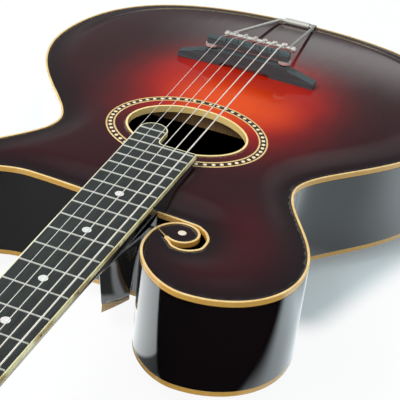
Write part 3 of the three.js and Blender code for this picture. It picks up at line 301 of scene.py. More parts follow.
def ivory(name, pale, deep):
    finish = Finish(name, "ivory_trim", Roughness=0.22, Coat_Weight=0.5, Coat_Roughness=0.1)
    age = finish.noise(60, 4, roughness=0.6)
    streak = finish.noise(4, 2, (60, 60, 260))
    # Age and streak noise are the ivory's own tone; the facing_up term darkens the sides as
    # painted shade against the lit tops.
    age_and_side_shade = age * 0.6 + streak * 0.15 + (1 - finish.facing_up()) * 0.4
    stops = [(0.26, pale), (0.48, mix_colour(pale, deep, 0.5)), (0.72, deep)]
    return finish.set(Base_Color=finish.ramp(age_and_side_shade, stops)).relief(age, 0.0001)


def board_binding_wear_and_shade():
    finish = Finish("board_binding_wear_and_shade", "ivory_trim", Roughness=0.3, Coat_Weight=0.3)
    wear = finish.noise(38, 4, (1, 1, 1), 0.62)
    # Stains follow the wear noise, which is real; the share from facing_up adds more on the sides
    # as painted shade.
    stain_and_side_shade = (wear + (1 - finish.facing_up()) * 0.1).rising(0.56, 0.72)
    # Lit top and shaded sides, blended by which way the surface faces: painted light and shade.
    pale = finish.blend(finish.facing_up(), BINDING_SHADED_SIDE, BINDING_LIT_TOP)
    tone = finish.blend(stain_and_side_shade * 0.75, pale, BINDING_STAIN)
    return finish.set(Base_Color=tone).relief(wear, 0.00012)


def board_edge_foot():
    """Painted shade beside the body, where the binding's lower edge is made dark, and the
    binding's own pale tone towards the nut.
    """
    finish = Finish("board_edge_foot", "ivory_trim", Roughness=0.35)
    pale = finish.axis("Y").rising(0.355, 0.40)
    return finish.set(Base_Color=finish.blend(pale, EDGE_FOOT_SHADE, EDGE_FOOT_PALE))


def grained(name, slot, stops, depth, noise, **surface):
    """A finish with the tone and the relief of one noise."""
    finish = Finish(name, slot, **surface)
    grain = finish.noise(*noise)
    return finish.set(Base_Color=finish.ramp(grain, stops)).relief(grain, depth)


def dark_wood(name, slot, low, high, rough, shine, stretch):
    finish = Finish(name, slot, Coat_Weight=shine, Coat_Roughness=0.2)
    pores = finish.noise(1.0, 4, stretch, 0.65)
    tone = finish.ramp(pores, [(0.35, low), (0.7, high)])
    return finish.set(Base_Color=tone, Roughness=rough + pores * 0.18).relief(pores, 0.00018)


def pearl():
    coat = {"Coat_Weight": 1.0, "Coat_Roughness": 0.03}
    finish = Finish("pearl", "pearl", Roughness=0.12, **coat)
    return finish.set(Base_Color=finish.ramp(finish.noise(420), PEARL_STOPS))


def nickel(name, rough, tint, stretch=(1, 1, 1)):
    finish = Finish(name, "nickel_plate", Metallic=0.6)
    haze = finish.noise(60, 4, stretch, 0.6)
    spots = finish.noise(420, 2)
    dull = mix_colour(tint, NICKEL_HAZE, 0.6)
    finish.set(Base_Color=finish.blend(haze.rising(0.45, 0.75) * 0.5, tint, dull))
    finish.set(Roughness=rough + haze * 0.14 + spots.rising(0.6, 0.8) * 0.08)
    return finish.relief(spots, 0.00002)


def string_metal(slot, tint, pitch):
    """Pitch is the length of one turn of the winding, or 0 for plain wire."""
    finish = Finish(slot, slot, Metallic=0.1, Roughness=0.32)
    smear = finish.noise(30).rising(0.45, 0.8)
    finish.set(Base_Color=finish.blend(smear * 0.6, tint, mix_colour(tint, STRING_SMEAR, 0.5)))
    if pitch:
        along = finish.axis("Y") * (2 * pi / (pitch * MM))
        finish.relief(along.math("SINE", along), 0.0002, 0.7)
    return finish


# Pieces


def moved(bm, place):
    bmesh.ops.transform(bm, matrix=place, verts=bm.verts)
    return bm


def mesh_of(name, bm):
    mesh = bpy.data.meshes.new(name)
    bm.to_mesh(mesh)
    bm.free()
    return mesh


def linked(name, data):
    made = bpy.data.objects.new(name, data)
    bpy.context.scene.collection.objects.link(made)
    return made


def add_piece(name, bm, finish, *stands_for, place=BODY, body=ROOT, crease=35, bevel=0.0):
    """Makes an object of a shape in millimetres that stands for the CAD nodes named, if any."""
    bmesh.ops.recalc_face_normals(moved(bm, place), faces=bm.faces)
    mesh = mesh_of(name, bm)
    mesh.shade_smooth()
    mesh.set_sharp_from_angle(angle=radians(crease))
    made = linked(name, mesh)
    mesh.materials.append(finish.material)
    soften(made, bevel)
    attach(made, body)
    if stands_for:
        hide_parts(*stands_for)
    return made


def soften(made, width):
    if width:
        edge = made.modifiers.new("soft_edges", "BEVEL")
        edge.width = width * MM
        edge.segments = 2
        edge.limit_method = "ANGLE"
        edge.angle_limit = radians(40)
        edge.harden_normals = True
        edge.use_clamp_overlap = True


def dress(node, finish, bevel=0.0):
    """A CAD node that keeps its shape and gets a finish."""
    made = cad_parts[node]
    made.data.materials.clear()
    made.data.materials.append(finish.material)
    soften(made, bevel)


def ring_of(bm, points):
    verts = [bm.verts.new(p) for p in points]
    edges = [bm.edges.new(pair) for pair in zip(verts, verts[1:] + verts[:1])]
    return verts, edges


def plate(outer, low, high, holes=()):
    """A flat plate between two heights, from its outline and the outlines of its holes."""
    bm = bmesh.new()
    edges = []
    for run in (outer, *holes):
        edges += ring_of(bm, [(x, y, low) for x, y in run])[1]
    if holes:
        bmesh.ops.triangle_fill(bm, use_beauty=True, edges=edges)
    else:
        bmesh.ops.contextual_create(bm, geom=edges)
    raised = bmesh.ops.extrude_face_region(bm, geom=list(bm.faces), use_keep_orig=True)["geom"]
    lifted = [v for v in raised if isinstance(v, bmesh.types.BMVert)]
    bmesh.ops.translate(bm, verts=lifted, vec=(0, 0, high - low))
    return bm


def loft(rings, capped=True):
    """A skin drawn through rings of equal count, by growing the first along the rest."""
    bm = bmesh.new()
    verts, edges = ring_of(bm, rings[0])
    if capped:
        bmesh.ops.contextual_create(bm, geom=edges)
    for ring in rings[1:]:
        grown = set(bmesh.ops.extrude_edge_only(bm, edges=edges)["geom"])
        fresh = []
        for vert, point in zip(verts, ring):
            ends = (edge.other_vert(vert) for edge in vert.link_edges)
            follower = next(end for end in ends if end in grown)
            follower.co = point
            fresh.append(follower)
        verts = fresh
        lines = [e for e in grown if isinstance(e, bmesh.types.BMEdge)]
        edges = [e for e in lines if all(v in fresh for v in e.verts)]
    if capped:
        bmesh.ops.contextual_create(bm, geom=edges)
    return bm


def turned(profile, place=Matrix.Identity(4), steps=32):
    """A shape turned on a lathe from (radius, height) pairs that start and end on its axis."""
    bm = bmesh.new()
    verts = [bm.verts.new((radius, 0, height)) for radius, height in profile]
    edges = [bm.edges.new(pair) for pair in zip(verts, verts[1:])]
    spin = {"cent": (0, 0, 0), "axis": (0, 0, 1), "angle": 2 * pi}
    bmesh.ops.spin(bm, geom=verts + edges, steps=steps, use_merge=True, **spin)
    bmesh.ops.remove_doubles(bm, verts=bm.verts, dist=0.0005)
    return moved(bm, place)


def followed(points):
    """Each point of a bent line with the line's direction there."""
    points = [Vector(p) for p in points]
    around = zip(points, points[:1] + points, points[1:] + points[-1:])
    return [(point, (after - before).normalized()) for point, before, after in around]


def tube(points, radius, sides):
    """A round wire along a bent line, of one radius or of one that a function gives."""
    turns = [2 * pi * k / sides for k in range(sides)]
    rings = []
    for share, (point, along) in zip(shares(len(points) - 1), followed(points)):
        side = Vector((0, 0, 1)).cross(along).normalized()
        rise = along.cross(side)
        r = radius(share) if callable(radius) else radius
        rings.append([point + side * (r * cos(t)) + rise * (r * sin(t)) for t in turns])
    return loft(rings)


def box_run(wide, low, high):
    return [(-wide, low), (wide, low), (wide, high), (-wide, high)]


def add_disc(bm, place, radii, depth, segments):
    cone = {"radius1": radii[0], "radius2": radii[-1], "depth": depth}
    bmesh.ops.create_cone(bm, cap_ends=True, segments=segments, matrix=place, **cone)
    return bm


HOLE = (0, -120.5)


def ellipse(half_width, half_length, steps=160, middle=HOLE):
    x, y = middle
    turns = [2 * pi * k / steps for k in range(steps)]
    return [np.array((x + half_width * cos(t), y + half_length * sin(t))) for t in turns]


def join(target, *others):
    """Adds other shapes to the first and lets them go."""
    for other in others:
        spare = mesh_of("spare", other)
        target.from_mesh(spare)
        bpy.data.meshes.remove(spare)
    return target


# Plan of the body

LOWER_BOUT, LOWER_BOUT_Y = 410, -286
WAIST, WAIST_Y = 220, -92
SHOULDER = (-153.5, 22)
SCROLL_TOP = (-86, 87.5)
HORN = (160, 31)
CUTAWAY_X, CUTAWAY_DROP = 84, 2.6
EYE = (-56.3, 17)
EYE_RADIUS, EYE_GROWTH, EYE_GROWTH_ANGLE = 13.4, 13.1, 0.84
SCROLL_START, SCROLL_END = 0.6, -5.36
SLOT = (-61.5, 18.8)
SLOT_RADIUS = 16
BOARD_END_HALF = 59.7 / 2
# Turns, in half circles, and reaches, in slot radii, of the slot's far wall
SLOT_TURNS = (-0.487, -0.595, -0.728, -0.9, -1.043, -1.2, -1.345, -1.468, -1.59, -1.698)
SLOT_REACHES = (1.04, 0.95, 0.885, 0.88, 0.92, 1.07, 1.11, 1.115, 1.065, 0.955)


def bezier(steps, *points):
    a, b, c, d = (np.array(p, float) for p in points)
    t = np.linspace(0, 1, steps + 1)[:, None]
    return list((1 - t) ** 3 * a + 3 * (1 - t) ** 2 * t * b + 3 * (1 - t) * t * t * c + t**3 * d)


def through(points, steps):
    """A smooth line through the points."""
    points = [np.array(p, float) for p in points]
    last = len(points) - 1
    line = []
    for k in range(steps + 1):
        at = last * k / steps
        i = min(int(at), last - 1)
        t = at - i
        before, here, there = points[max(i - 1, 0)], points[i], points[i + 1]
        after = points[min(i + 2, last)]
        leave, reach = (there - before) / 2, (after - here) / 2
        cubic = 2 * here - 2 * there + leave + reach
        square = -3 * here + 3 * there - 2 * leave - reach
        line.append(cubic * t**3 + square * t * t + leave * t + here)
    return line


def lower_bout(side):
    wide, narrow = side * LOWER_BOUT / 2, side * WAIST / 2
    waist_run = WAIST_Y - LOWER_BOUT_Y
    handle = LOWER_BOUT_Y - (BODY_LENGTH + LOWER_BOUT_Y) * 0.62
    tail, bout, waist = (0, -BODY_LENGTH), (wide, LOWER_BOUT_Y), (narrow, WAIST_Y)
    leave = (wide, LOWER_BOUT_Y + waist_run * 0.56)
    reach = (narrow, WAIST_Y - waist_run * 0.22)
    rounded_run = bezier(40, tail, (wide * 0.68, -BODY_LENGTH), (wide, handle), bout)
    return rounded_run + bezier(30, bout, leave, reach, waist)[1:]


def spiral(turn):
    reach = EYE_RADIUS + EYE_GROWTH * exp((turn - SCROLL_START) / EYE_GROWTH_ANGLE)
    return polar(reach, turn, EYE)


def treble_shoulder():
    run = HORN[1] - WAIST_Y
    narrow = WAIST / 2
    reach = (mix(narrow, HORN[0], 0.92), WAIST_Y + run * 0.52)
    return bezier(30, (narrow, WAIST_Y), (narrow, WAIST_Y + run * 0.26), reach, HORN)


def cutaway_side():
    fall = HORN[1] + CUTAWAY_DROP
    run = HORN[0] - CUTAWAY_X
    low = (CUTAWAY_X, -CUTAWAY_DROP)
    leave = (HORN[0] - run * 0.33, HORN[1] - fall * 0.3)
    hollow = bezier(30, HORN, leave, (CUTAWAY_X + run * 0.34, -CUTAWAY_DROP), low)
    neck = (BOARD_END_HALF, 0)
    reach = (BOARD_END_HALF + CUTAWAY_DROP, 0)
    to_neck = bezier(12, low, (CUTAWAY_X * 0.72, -CUTAWAY_DROP), reach, neck)
    return hollow + to_neck[1:] + [np.array((-BOARD_END_HALF, 0.0))]


def slot_side():
    spots = zip(SLOT_TURNS, SLOT_REACHES)
    marks = [polar(SLOT_RADIUS * share, pi * turn, SLOT) for turn, share in spots]
    mouth = (mix(-BOARD_END_HALF, SLOT[0], 0.5), 1)
    return through([mouth, *marks, spiral(SCROLL_END)], 90)


def scroll_head():
    return [spiral(mix(SCROLL_END, SCROLL_START, share)) for share in shares(110)]


def bass_upper():
    start, top, out = spiral(SCROLL_START), SCROLL_TOP, SHOULDER
    waist = (-WAIST / 2, WAIST_Y)
    rise = top[1] - start[1]
    leave = (start[0] + EYE_GROWTH * 0.12, mix(start[1], top[1], 0.5))
    neck_side = bezier(40, start, leave, (mix(top[0], start[0], 0.46), top[1]), top)
    reach = (out[0], mix(out[1], top[1], rise / top[1]))
    shoulder = bezier(40, top, (mix(top[0], out[0], 0.5), top[1]), reach, out)
    leave = (out[0], mix(out[1], waist[1], 0.41))
    draw = bezier(30, out, leave, (waist[0], mix(waist[1], out[1], 0.31)), waist)
    return neck_side[1:] + shoulder[1:] + draw[1:]


def main_run():
    tail = lower_bout(-1)[::-1][1:] + lower_bout(1)[1:]
    return scroll_head() + bass_upper() + tail + treble_shoulder()[1:]


def inset_run(points, distance):
    line = []
    for i, point in enumerate(points):
        before, after = points[max(i - 1, 0)], points[min(i + 1, len(points) - 1)]
        steps = [s / np.linalg.norm(s) for s in (point - before, after - point) if np.any(s)]
        along = steps[0] + steps[-1]
        along = along / np.linalg.norm(along)
        reach = distance / max(float(along @ steps[0]), 0.5)
        line.append(point + np.array((-along[1], along[0])) * reach)
    return line


def crossing(a, b, c, d):
    ab, cd, ac = b - a, d - c, c - a
    scale = ab[0] * cd[1] - ab[1] * cd[0]
    if scale == 0:
        return None
    s = (ac[0] * cd[1] - ac[1] * cd[0]) / scale
    t = (ac[0] * ab[1] - ac[1] * ab[0]) / scale
    return a + ab * s if 0 <= s <= 1 and 0 <= t <= 1 else None


def join_runs(first, second, overlap=40):
    """Two runs cut and joined where the end of one crosses the start of the other."""
    for i in range(len(first) - 2, len(first) - overlap, -1):
        for j in range(overlap):
            meet = crossing(first[i], first[i + 1], second[j], second[j + 1])
            if meet is not None:
                return first[: i + 1] + [meet] + second[j + 1 :]
    return first + second[1:]


def outline(inset):
    main, cutaway = main_run(), cutaway_side() + slot_side()
    if inset == 0:
        return main + cutaway[1:-1]
    joined = join_runs(inset_run(main, inset), inset_run(cutaway, inset))
    forward = main[0] - cutaway[-2]
    return joined + [main[0] + forward / np.linalg.norm(forward) * inset]


# Carved arch: a skin stretched over the plan

EDGE = np.array(outline(0))
CELL = 3.0
TOP_ARCH, BACK_ARCH, PLATE_THICKNESS = 14, 16, 4.6
RECURVE_REACH, ARCH_POWER = 34, 0.62
ARCH_SINK = 0.2
SKIN_ROUNDS, SKIN_STEP = 700, 1.95
SKIN_LOW = EDGE.min(0) - CELL
SKIN_COUNT = np.ceil((EDGE.max(0) - EDGE.min(0)) / CELL).astype(int) + 3


def inside(points, edge=EDGE):
    points = np.asarray(points, float).reshape(-1, 2)
    odd = np.zeros(len(points), bool)
    for (ax, ay), (bx, by) in zip(edge, np.roll(edge, -1, axis=0)):
        if ay != by:
            spans = (ay > points[:, 1]) != (by > points[:, 1])
            odd ^= spans & (points[:, 0] < (bx - ax) * (points[:, 1] - ay) / (by - ay) + ax)
    return odd


def rim_reach(points, edge=EDGE):
    """How far each point is from the outline."""
    points = np.asarray(points, float).reshape(-1, 2)
    best = np.full(len(points), np.inf)
    for a, b in zip(edge, np.roll(edge, -1, axis=0)):
        step = b - a
        share = np.clip(((points - a) @ step) / (step @ step), 0, 1)
        gap = points - a - share[:, None] * step
        best = np.minimum(best, np.einsum("ij,ij->i", gap, gap))
    return np.sqrt(best)


def stretch_skin():
    """The height of an evenly loaded skin over the plan, by relaxing its grid in two colours."""
    columns, rows = SKIN_COUNT
    x = SKIN_LOW[0] + np.arange(columns) * CELL
    y = SKIN_LOW[1] + np.arange(rows) * CELL
    across, along = np.meshgrid(x, y)
    free = inside(np.column_stack([across.ravel(), along.ravel()])).reshape(rows, columns)
    free[0] = free[-1] = False
    free[:, 0] = free[:, -1] = False
    parity = np.add.outer(np.arange(rows), np.arange(columns)) % 2
    height = np.zeros((rows, columns))
    for _ in range(SKIN_ROUNDS):
        for check in (free & (parity == 0), free & (parity == 1)):
            around = sum(np.roll(height, way, axis) for axis in (0, 1) for way in (1, -1))
            height[check] += SKIN_STEP * ((around[check] + 1) / 4 - height[check])
    return height / height.max()


SKIN = stretch_skin()


def arch_share(points):
    points = np.asarray(points, float).reshape(-1, 2)
    at = np.clip((points - SKIN_LOW) / CELL, 0, SKIN_COUNT - 1.001)
    c, r = at[:, 0].astype(int), at[:, 1].astype(int)
    u, v = at[:, 0] - c, at[:, 1] - r
    low = SKIN[r, c] * (1 - u) + SKIN[r, c + 1] * u
    high = SKIN[r + 1, c] * (1 - u) + SKIN[r + 1, c + 1] * u
    skin = np.maximum(low * (1 - v) + high * v, 0)
    t = np.clip(rim_reach(points) / RECURVE_REACH, 0, 1)
    return np.where(inside(points), t * t * (3 - 2 * t) * skin**ARCH_POWER, 0)


def top_z(points):
    return TOP_ARCH * arch_share(points) - ARCH_SINK


def back_z(points):
    deepest = -BODY_DEPTH - BACK_ARCH + 1
    return np.maximum(-BODY_DEPTH - BACK_ARCH * arch_share(points) + ARCH_SINK, deepest)


# Body

HOLE_HALF = (54.3, 41)
HOLE_BINDING = 2
RING_INNER, RING_WIDTH, RING_LINE, RING_DOTS = 9, 8, 1.5, 56
NET_MARGIN = 1.4


def carved_sheet(edge, holes, height):
    """A curved sheet inside an outline, on a fine net of points that follows the carving."""
    low, high = edge.min(0), edge.max(0)
    x = np.arange(low[0], high[0], CELL)
    y = np.arange(low[1], high[1], CELL)
    net = np.column_stack([v.ravel() for v in np.meshgrid(x, y)])
    net = net[inside(net, edge) & (rim_reach(net, edge) > NET_MARGIN)]
    for hole in holes:
        net = net[~inside(net, hole) & (rim_reach(net, hole) > NET_MARGIN)]
    points, lines = [], []
    for run in (edge, *holes):
        first, count = len(points), len(run)
        points += list(run)
        lines += [(first + i, first + (i + 1) % count) for i in range(count)]
    points = [Vector(p) for p in np.vstack([points, net])]
    found, _, faces, *_ = delaunay_2d_cdt(points, lines, [], 1, 1e-5)
    flat = np.array([tuple(p) for p in found])
    middles = np.array([flat[list(face)].mean(0) for face in faces])
    keep = inside(middles, edge)
    for hole in holes:
        keep &= ~inside(middles, hole)
    bm = bmesh.new()
    verts = [bm.verts.new((*p, z)) for p, z in zip(flat, height(flat))]
    for face, kept in zip(faces, keep):
        if kept:
            bm.faces.new([verts[i] for i in face])
    loose = [v for v in bm.verts if not v.link_faces]
    bmesh.ops.delete(bm, geom=loose, context="VERTS")
    return bm


def mark_rim_reach(made):
    """Keeps on each point its distance from the rim, in millimetres, for the finish."""
    back = BODY.inverted()
    points = np.array([tuple(back @ v.co)[:2] for v in made.data.vertices])
    marks = made.data.attributes.new("rim_reach", "FLOAT", "POINT")
    marks.data.foreach_set("value", rim_reach(points).astype(np.float32))


def thicken(made, thickness, offset=-1):
    wall = made.modifiers.new("thickness", "SOLIDIFY")
    wall.thickness = thickness * MM
    wall.offset = offset


def build_plates():
    edge = np.array(outline(BINDING_WIDTH - 0.05))
    sheet = carved_sheet(edge, [np.array(ellipse(*HOLE_HALF))], top_z)
    top = add_piece("carved_top", sheet, BURST, "top_plate")
    mark_rim_reach(top)
    thicken(top, PLATE_THICKNESS)
    sheet = carved_sheet(edge, [], back_z)
    back = add_piece("carved_back", sheet, BLACK, "back_plate")
    thicken(back, PLATE_THICKNESS, offset=1)


def build_rim():
    outer = outline(0)
    foot, brow = -BODY_DEPTH + BINDING_HEIGHT - SEAM, -BINDING_HEIGHT + SEAM
    add_piece("sides", plate(outer, foot, brow, [outline(2.5)]), BLACK, "rim")
    inner = outline(BINDING_WIDTH)
    for name, low in (("top_binding", -BINDING_HEIGHT), ("back_binding", -BODY_DEPTH)):
        strip = plate(outer, low, low + BINDING_HEIGHT, [inner])
        add_piece(name + "_strip", strip, IVORY, name, bevel=0.45)


def ring_strip(inner, width, lift, across):
    """A band round the sound hole that lies on the carved top."""
    rows = []
    for share in shares(across):
        run = ellipse(*(h + width * share for h in inner), 200)
        rows.append([(x, y, z + lift) for (x, y), z in zip(run, top_z(run))])
    return loft(rows, capped=False)


def build_rosette():
    inner = [h + RING_INNER for h in HOLE_HALF]
    strip = ring_strip(inner, RING_WIDTH, 0.06, 4)
    thicken(add_piece("rosette_band", strip, RING_DARK, "rosette"), 1.2)
    for name, reach in (("inner", 0), ("outer", RING_WIDTH - RING_LINE)):
        strip = ring_strip([h + reach for h in inner], RING_LINE, 0.12, 2)
        thicken(add_piece("rosette_%s_line" % name, strip, IVORY), 0.6)
    dots = bmesh.new()
    spots = ellipse(*(h + RING_WIDTH / 2 for h in inner), RING_DOTS)
    for (x, y), z in zip(spots, top_z(spots)):
        add_disc(dots, shift(x, y, z + 0.05), (1.75, 1.6), 0.3, 12)
    add_piece("rosette_dots", dots, IVORY_DOT)
    clear = ellipse(*(h - HOLE_BINDING for h in HOLE_HALF))
    mouth = plate(ellipse(*HOLE_HALF), -PLATE_THICKNESS - 1.4, 0, [clear])
    for vert, lift in zip(mouth.verts, top_z([v.co.xy for v in mouth.verts])):
        vert.co.z += lift + (0.25 if vert.co.z > -1 else 0)
    add_piece("soundhole_lip", mouth, IVORY_LIP, "soundhole_binding", bevel=0.4)


def build_eye():
    dot = add_disc(bmesh.new(), shift(*EYE, float(top_z([EYE])[0]) - 0.6), (3.2,), 1.4, 40)
    add_piece("scroll_eye", dot, BONE, "scroll_dot", bevel=0.15)


# Neck

BOARD_NUT_HALF = 44.3 / 2
TONGUE_REACH, TONGUE_WIDTH = 29, 25
FRET_HEIGHT, FRET_WIDTH = 1.0, 1.35
FRET_ENDS = ((0, 0.15), (0.5, 0.8), (1.1, 1))  # distance from the end and share of the height
EDGE_STRIP, EDGE_FOOT = 1.0, -5.0
DOT_FRETS, DOUBLE_DOT = (5, 7, 9, 12, 15), 12


def fret_y(n):
    return SCALE_LENGTH * (2 ** (-n / 12) - 2 ** (-JOINT_FRET / 12))


def dot_y(n):
    return (fret_y(n) + fret_y(n - 1)) / 2


BOARD_END = fret_y(FULL_FRETS) - 4.6


def board_half(y):
    return mix(BOARD_END_HALF, BOARD_NUT_HALF, (y - BOARD_END) / (NUT_Y - BOARD_END))


def board_run():
    treble, nut = board_half(BOARD_END), board_half(NUT_Y)
    left, radius = treble - TONGUE_WIDTH, TONGUE_WIDTH / 2
    tip = BOARD_END - TONGUE_REACH
    rise, fillet = TONGUE_WIDTH * 0.46, TONGUE_WIDTH * 0.24
    corner = []
    for t in shares(10):
        corner.append((left - fillet * (1 - t) ** 2, BOARD_END - fillet * t * t))
    tongue = []
    for share in shares(28):
        t = pi * (1 + share)
        tongue.append((treble - radius * (1 - cos(t)), tip + rise * (1 + sin(t))))
    run = [(-nut, NUT_Y), (-treble, BOARD_END + EDGE_STRIP), (-treble + EDGE_STRIP, BOARD_END)]
    return [np.array(p, float) for p in (*run, *corner, *tongue, (nut, NUT_Y))]


def fret(n):
    y, foot = fret_y(n), BOARD_TOP - 0.4
    reach = EDGE_STRIP + 0.1
    right = board_half(max(y, BOARD_END)) - reach
    left = board_half(BOARD_END) - TONGUE_WIDTH + reach if n > FULL_FRETS else -right
    ends = [(left + at, share) for at, share in FRET_ENDS]
    ends += [(right - at, share) for at, share in FRET_ENDS[::-1]]
    rings = []
    for x, share in ends:
        crown = []
        for half_turn in shares(8):
            along = FRET_WIDTH / 2 * cos(pi * half_turn)
            z = BOARD_TOP - 0.05 + FRET_HEIGHT * share * sin(pi * half_turn)
            crown.append((x, y - along, z))
        rings.append([(x, y - FRET_WIDTH / 2, foot), *crown, (x, y + FRET_WIDTH / 2, foot)])
    return loft(rings)


def build_board():
    run = board_run()
    inner = inset_run(run, EDGE_STRIP)
    wood = plate(inner, BOARD_FOOT, BOARD_TOP)
    add_piece("board", wood, EBONY_BOARD, "fingerboard", place=NECK)
    edge = run + inner[::-1]
    strip = plate(edge, EDGE_FOOT, BOARD_TOP + SEAM)
    binding = "fingerboard_binding"
    add_piece("board_edging", strip, BOARD_EDGE, binding, place=NECK, bevel=0.25)
    under = plate(edge, BOARD_FOOT, EDGE_FOOT - SEAM)
    add_piece("board_underside_edge", under, EDGE_FOOT_TONE, place=NECK)
    frets = join(bmesh.new(), *(fret(n) for n in range(1, FRETS + 1)))
    add_piece("frets", frets, FRET_METAL, place=NECK, crease=60)
    marks = bmesh.new()
    for n in (3, *DOT_FRETS):
        if n in DOT_FRETS:
            dot = add_disc(bmesh.new(), shift(0, dot_y(n), BOARD_TOP - 0.5), (3.4,), 1.06, 36)
            add_piece("board_dot_%d" % n, dot, PEARL, "position_dot_%d" % n, place=NECK)
        for along in (-4, 4) if n == DOUBLE_DOT else (0,):
            y = dot_y(n) + along
            add_disc(marks, shift(-board_half(y), y, -3.6) @ LAID, (0.95,), 0.16, 16)
    add_piece("side_dots", marks, RING_DARK, place=NECK)


def eased(value, low, high):
    share = min(max((value - low) / (high - low), 0), 1)
    return share * share * (3 - 2 * share)


def shaft_ring(y, depth, half_width, steps=30):
    """Round at the heel and the head, and a soft V between them, which the board's edge hides."""
    keel = eased(y, 55, 135) * (1 - eased(y, NUT_Y - 70, NUT_Y - 10))
    top = BOARD_FOOT + SEAM / 2
    edge = depth * mix(0.08, 0.015, keel)
    ring = [(half_width, y, top)]
    for share in shares(steps):
        across = 1 - 2 * share
        x = half_width * mix(cos(pi * share), across, keel)
        drop = mix(max(sin(pi * share), 0) ** 0.85, cos(across * pi / 2), keel)
        ring.append((x, y, top - edge - (depth - edge) * drop))
    return ring + [(-half_width, y, top)]


def build_shaft():
    rings = []
    for share in shares(24):
        y = HEAD_Y * share
        rings.append(shaft_ring(y, mix(20, 16.5, share), board_half(min(y, NUT_Y))))
    add_piece("neck_shaft", loft(rings), BLACK, "neck", place=NECK)
    wide = board_half(BOARD_END) - EDGE_STRIP
    riser = plate(box_run(wide, -66, 2), -26, BOARD_FOOT + SEAM / 2)
    add_piece("neck_riser", riser, BLACK, place=NECK)


HEEL_HALF, HEEL_SHOULDER_HALF = 11, 27
HEEL_TOE, HEEL_SHOULDER = 26.2, 74
HEEL_SQUARENESS = 1.85
# Down the heel: share of its depth, and of the widening and the reach that are left there
HEEL_MARKS = [
    (0, 0.8, 1),
    (0.11, 0.5, 0.72),
    (0.21, 0.37, 0.43),
    (0.34, 0.28, 0.25),
    (0.52, 0.15, 0.16),
    (0.77, 0.06, 0.08),
    (1, 0, 0),
]
CAP_FOOT = -BODY_DEPTH - 4.4
CAP_HEIGHT, CAP_TIP_HEIGHT, CAP_LIP = 3.8, 8.4, 0.9


def heel_plan(half_width, reach, z, sharpness, steps=28):
    ring = []
    for share in shares(steps):
        across = cos(pi * share)
        x = half_width * copysign(abs(across) ** sharpness, across)
        ring.append((x, reach * max(sin(pi * share), 0) ** sharpness, z))
    return ring + [(-half_width, -2, z), (half_width, -2, z)]


def cap_top(y):
    """Height of the seam between the heel and its cap."""
    tip = HEEL_TOE + CAP_LIP
    rise = max(0, (y - tip * 0.4) / (tip * 0.6))
    return CAP_FOOT + mix(CAP_HEIGHT, CAP_TIP_HEIGHT, rise)


def build_heel():
    top = NECK_RISE + BOARD_FOOT - 20.4
    foot = CAP_FOOT + CAP_HEIGHT / 2
    rings = []
    for drop, width, reach in through(HEEL_MARKS, 30):
        drop = min(max(drop, 0), 1)
        half = mix(HEEL_HALF, HEEL_SHOULDER_HALF, width)
        reach = mix(HEEL_TOE, HEEL_SHOULDER, reach)
        sharpness = mix(1, HEEL_SQUARENESS, sqrt(drop))
        ring = heel_plan(half, reach, mix(top, foot, drop), sharpness)
        rings.append([(x, y, max(z, cap_top(y) - 0.05)) for x, y, z in ring])
    add_piece("neck_heel", loft(rings), BLACK, crease=50)
    cap = heel_plan(HEEL_HALF + CAP_LIP / 2, HEEL_TOE + CAP_LIP, 0, HEEL_SQUARENESS)[:-2]
    bm = plate([(x, max(y, 0.3)) for x, y, _ in cap], CAP_FOOT, CAP_FOOT + 1)
    for vert in bm.verts:
        if vert.co.z > CAP_FOOT + 0.5:
            vert.co.z = cap_top(vert.co.y)
    add_piece("heel_cap_plate", bm, IVORY_DEEP, "heel_cap", bevel=0.5)


HEAD_SIDE = [(23.5, 3.6), (27.9, 11.2), (31.5, 18), (34.75, 80.5), (38, 160.6), (35.7, 167.4)]
HEAD_SIDE += [(22.8, 172.3), (0, 175)]
HEAD_THICKNESS, OVERLAY = 14, 2
POST_RADIUS, POST_BORE, POST_HEIGHT = 3, 3.3, 13
POST_OUT, FIRST_POST, POST_PITCH = 21, 41, 38
POST_SPOTS = {}
for side_name, side_sign in SIDES.items():
    for post in range(3):
        spot = (side_sign * POST_OUT, FIRST_POST + POST_PITCH * post)
        POST_SPOTS["%s_%d" % (side_name, post + 1)] = spot


def head_side(start):
    right = through([(HEAD_SIDE[0][0], start), *HEAD_SIDE], 96)
    return right + [np.array((-x, y)) for x, y in right[-2::-1]]


def build_head():
    holes = [ellipse(POST_BORE, POST_BORE, 24, spot) for spot in POST_SPOTS.values()]
    core = plate(head_side(-4), -HEAD_THICKNESS, 0, holes)
    add_piece("headstock", core, BLACK, place=HEAD, bevel=1.2)
    face = plate(head_side(0.3), 0.0, OVERLAY, holes)
    add_piece("headstock_face", face, BLACK, "headstock_overlay", place=HEAD, bevel=0.5)
    dress("nut", BONE, bevel=0.4)


# Tuning machines

GEAR_TEETH, WORM_PITCH, TOOTH = 14, 2.4, 1.1
GEAR_RADIUS = WORM_PITCH * GEAR_TEETH / (2 * pi) + TOOTH / 2
PLATE_GAP, TUNER_PLATE, WORM_RADIUS = 0.3, 1.2, 2.8
KEY_DROP = -HEAD_THICKNESS - PLATE_GAP - TUNER_PLATE - PLATE_GAP - WORM_RADIUS
KEY_OFFSET = GEAR_RADIUS + WORM_RADIUS - TOOTH + 0.35
KNOB_OUT, KNOB_HALF = 30.95, (6.5, 5, 8.5)
COLLAR = [(0, 0), (2.6, 0), (3.1, 1.2), (2.4, 2.6), (0, 2.6)]
COLLAR_STARTS = {1: 23.2, -1: -25.8}


def gear_run():
    blunt = GEAR_RADIUS - 0.35
    tooth = ((-0.17, blunt), (-0.1, GEAR_RADIUS), (0.1, GEAR_RADIUS), (0.17, blunt))
    run = []
    for k in range(GEAR_TEETH):
        for share, radius in (*tooth, (0.5, GEAR_RADIUS - TOOTH)):
            run.append(polar(radius, 2 * pi * (k + share) / GEAR_TEETH + pi / 2))
    return run


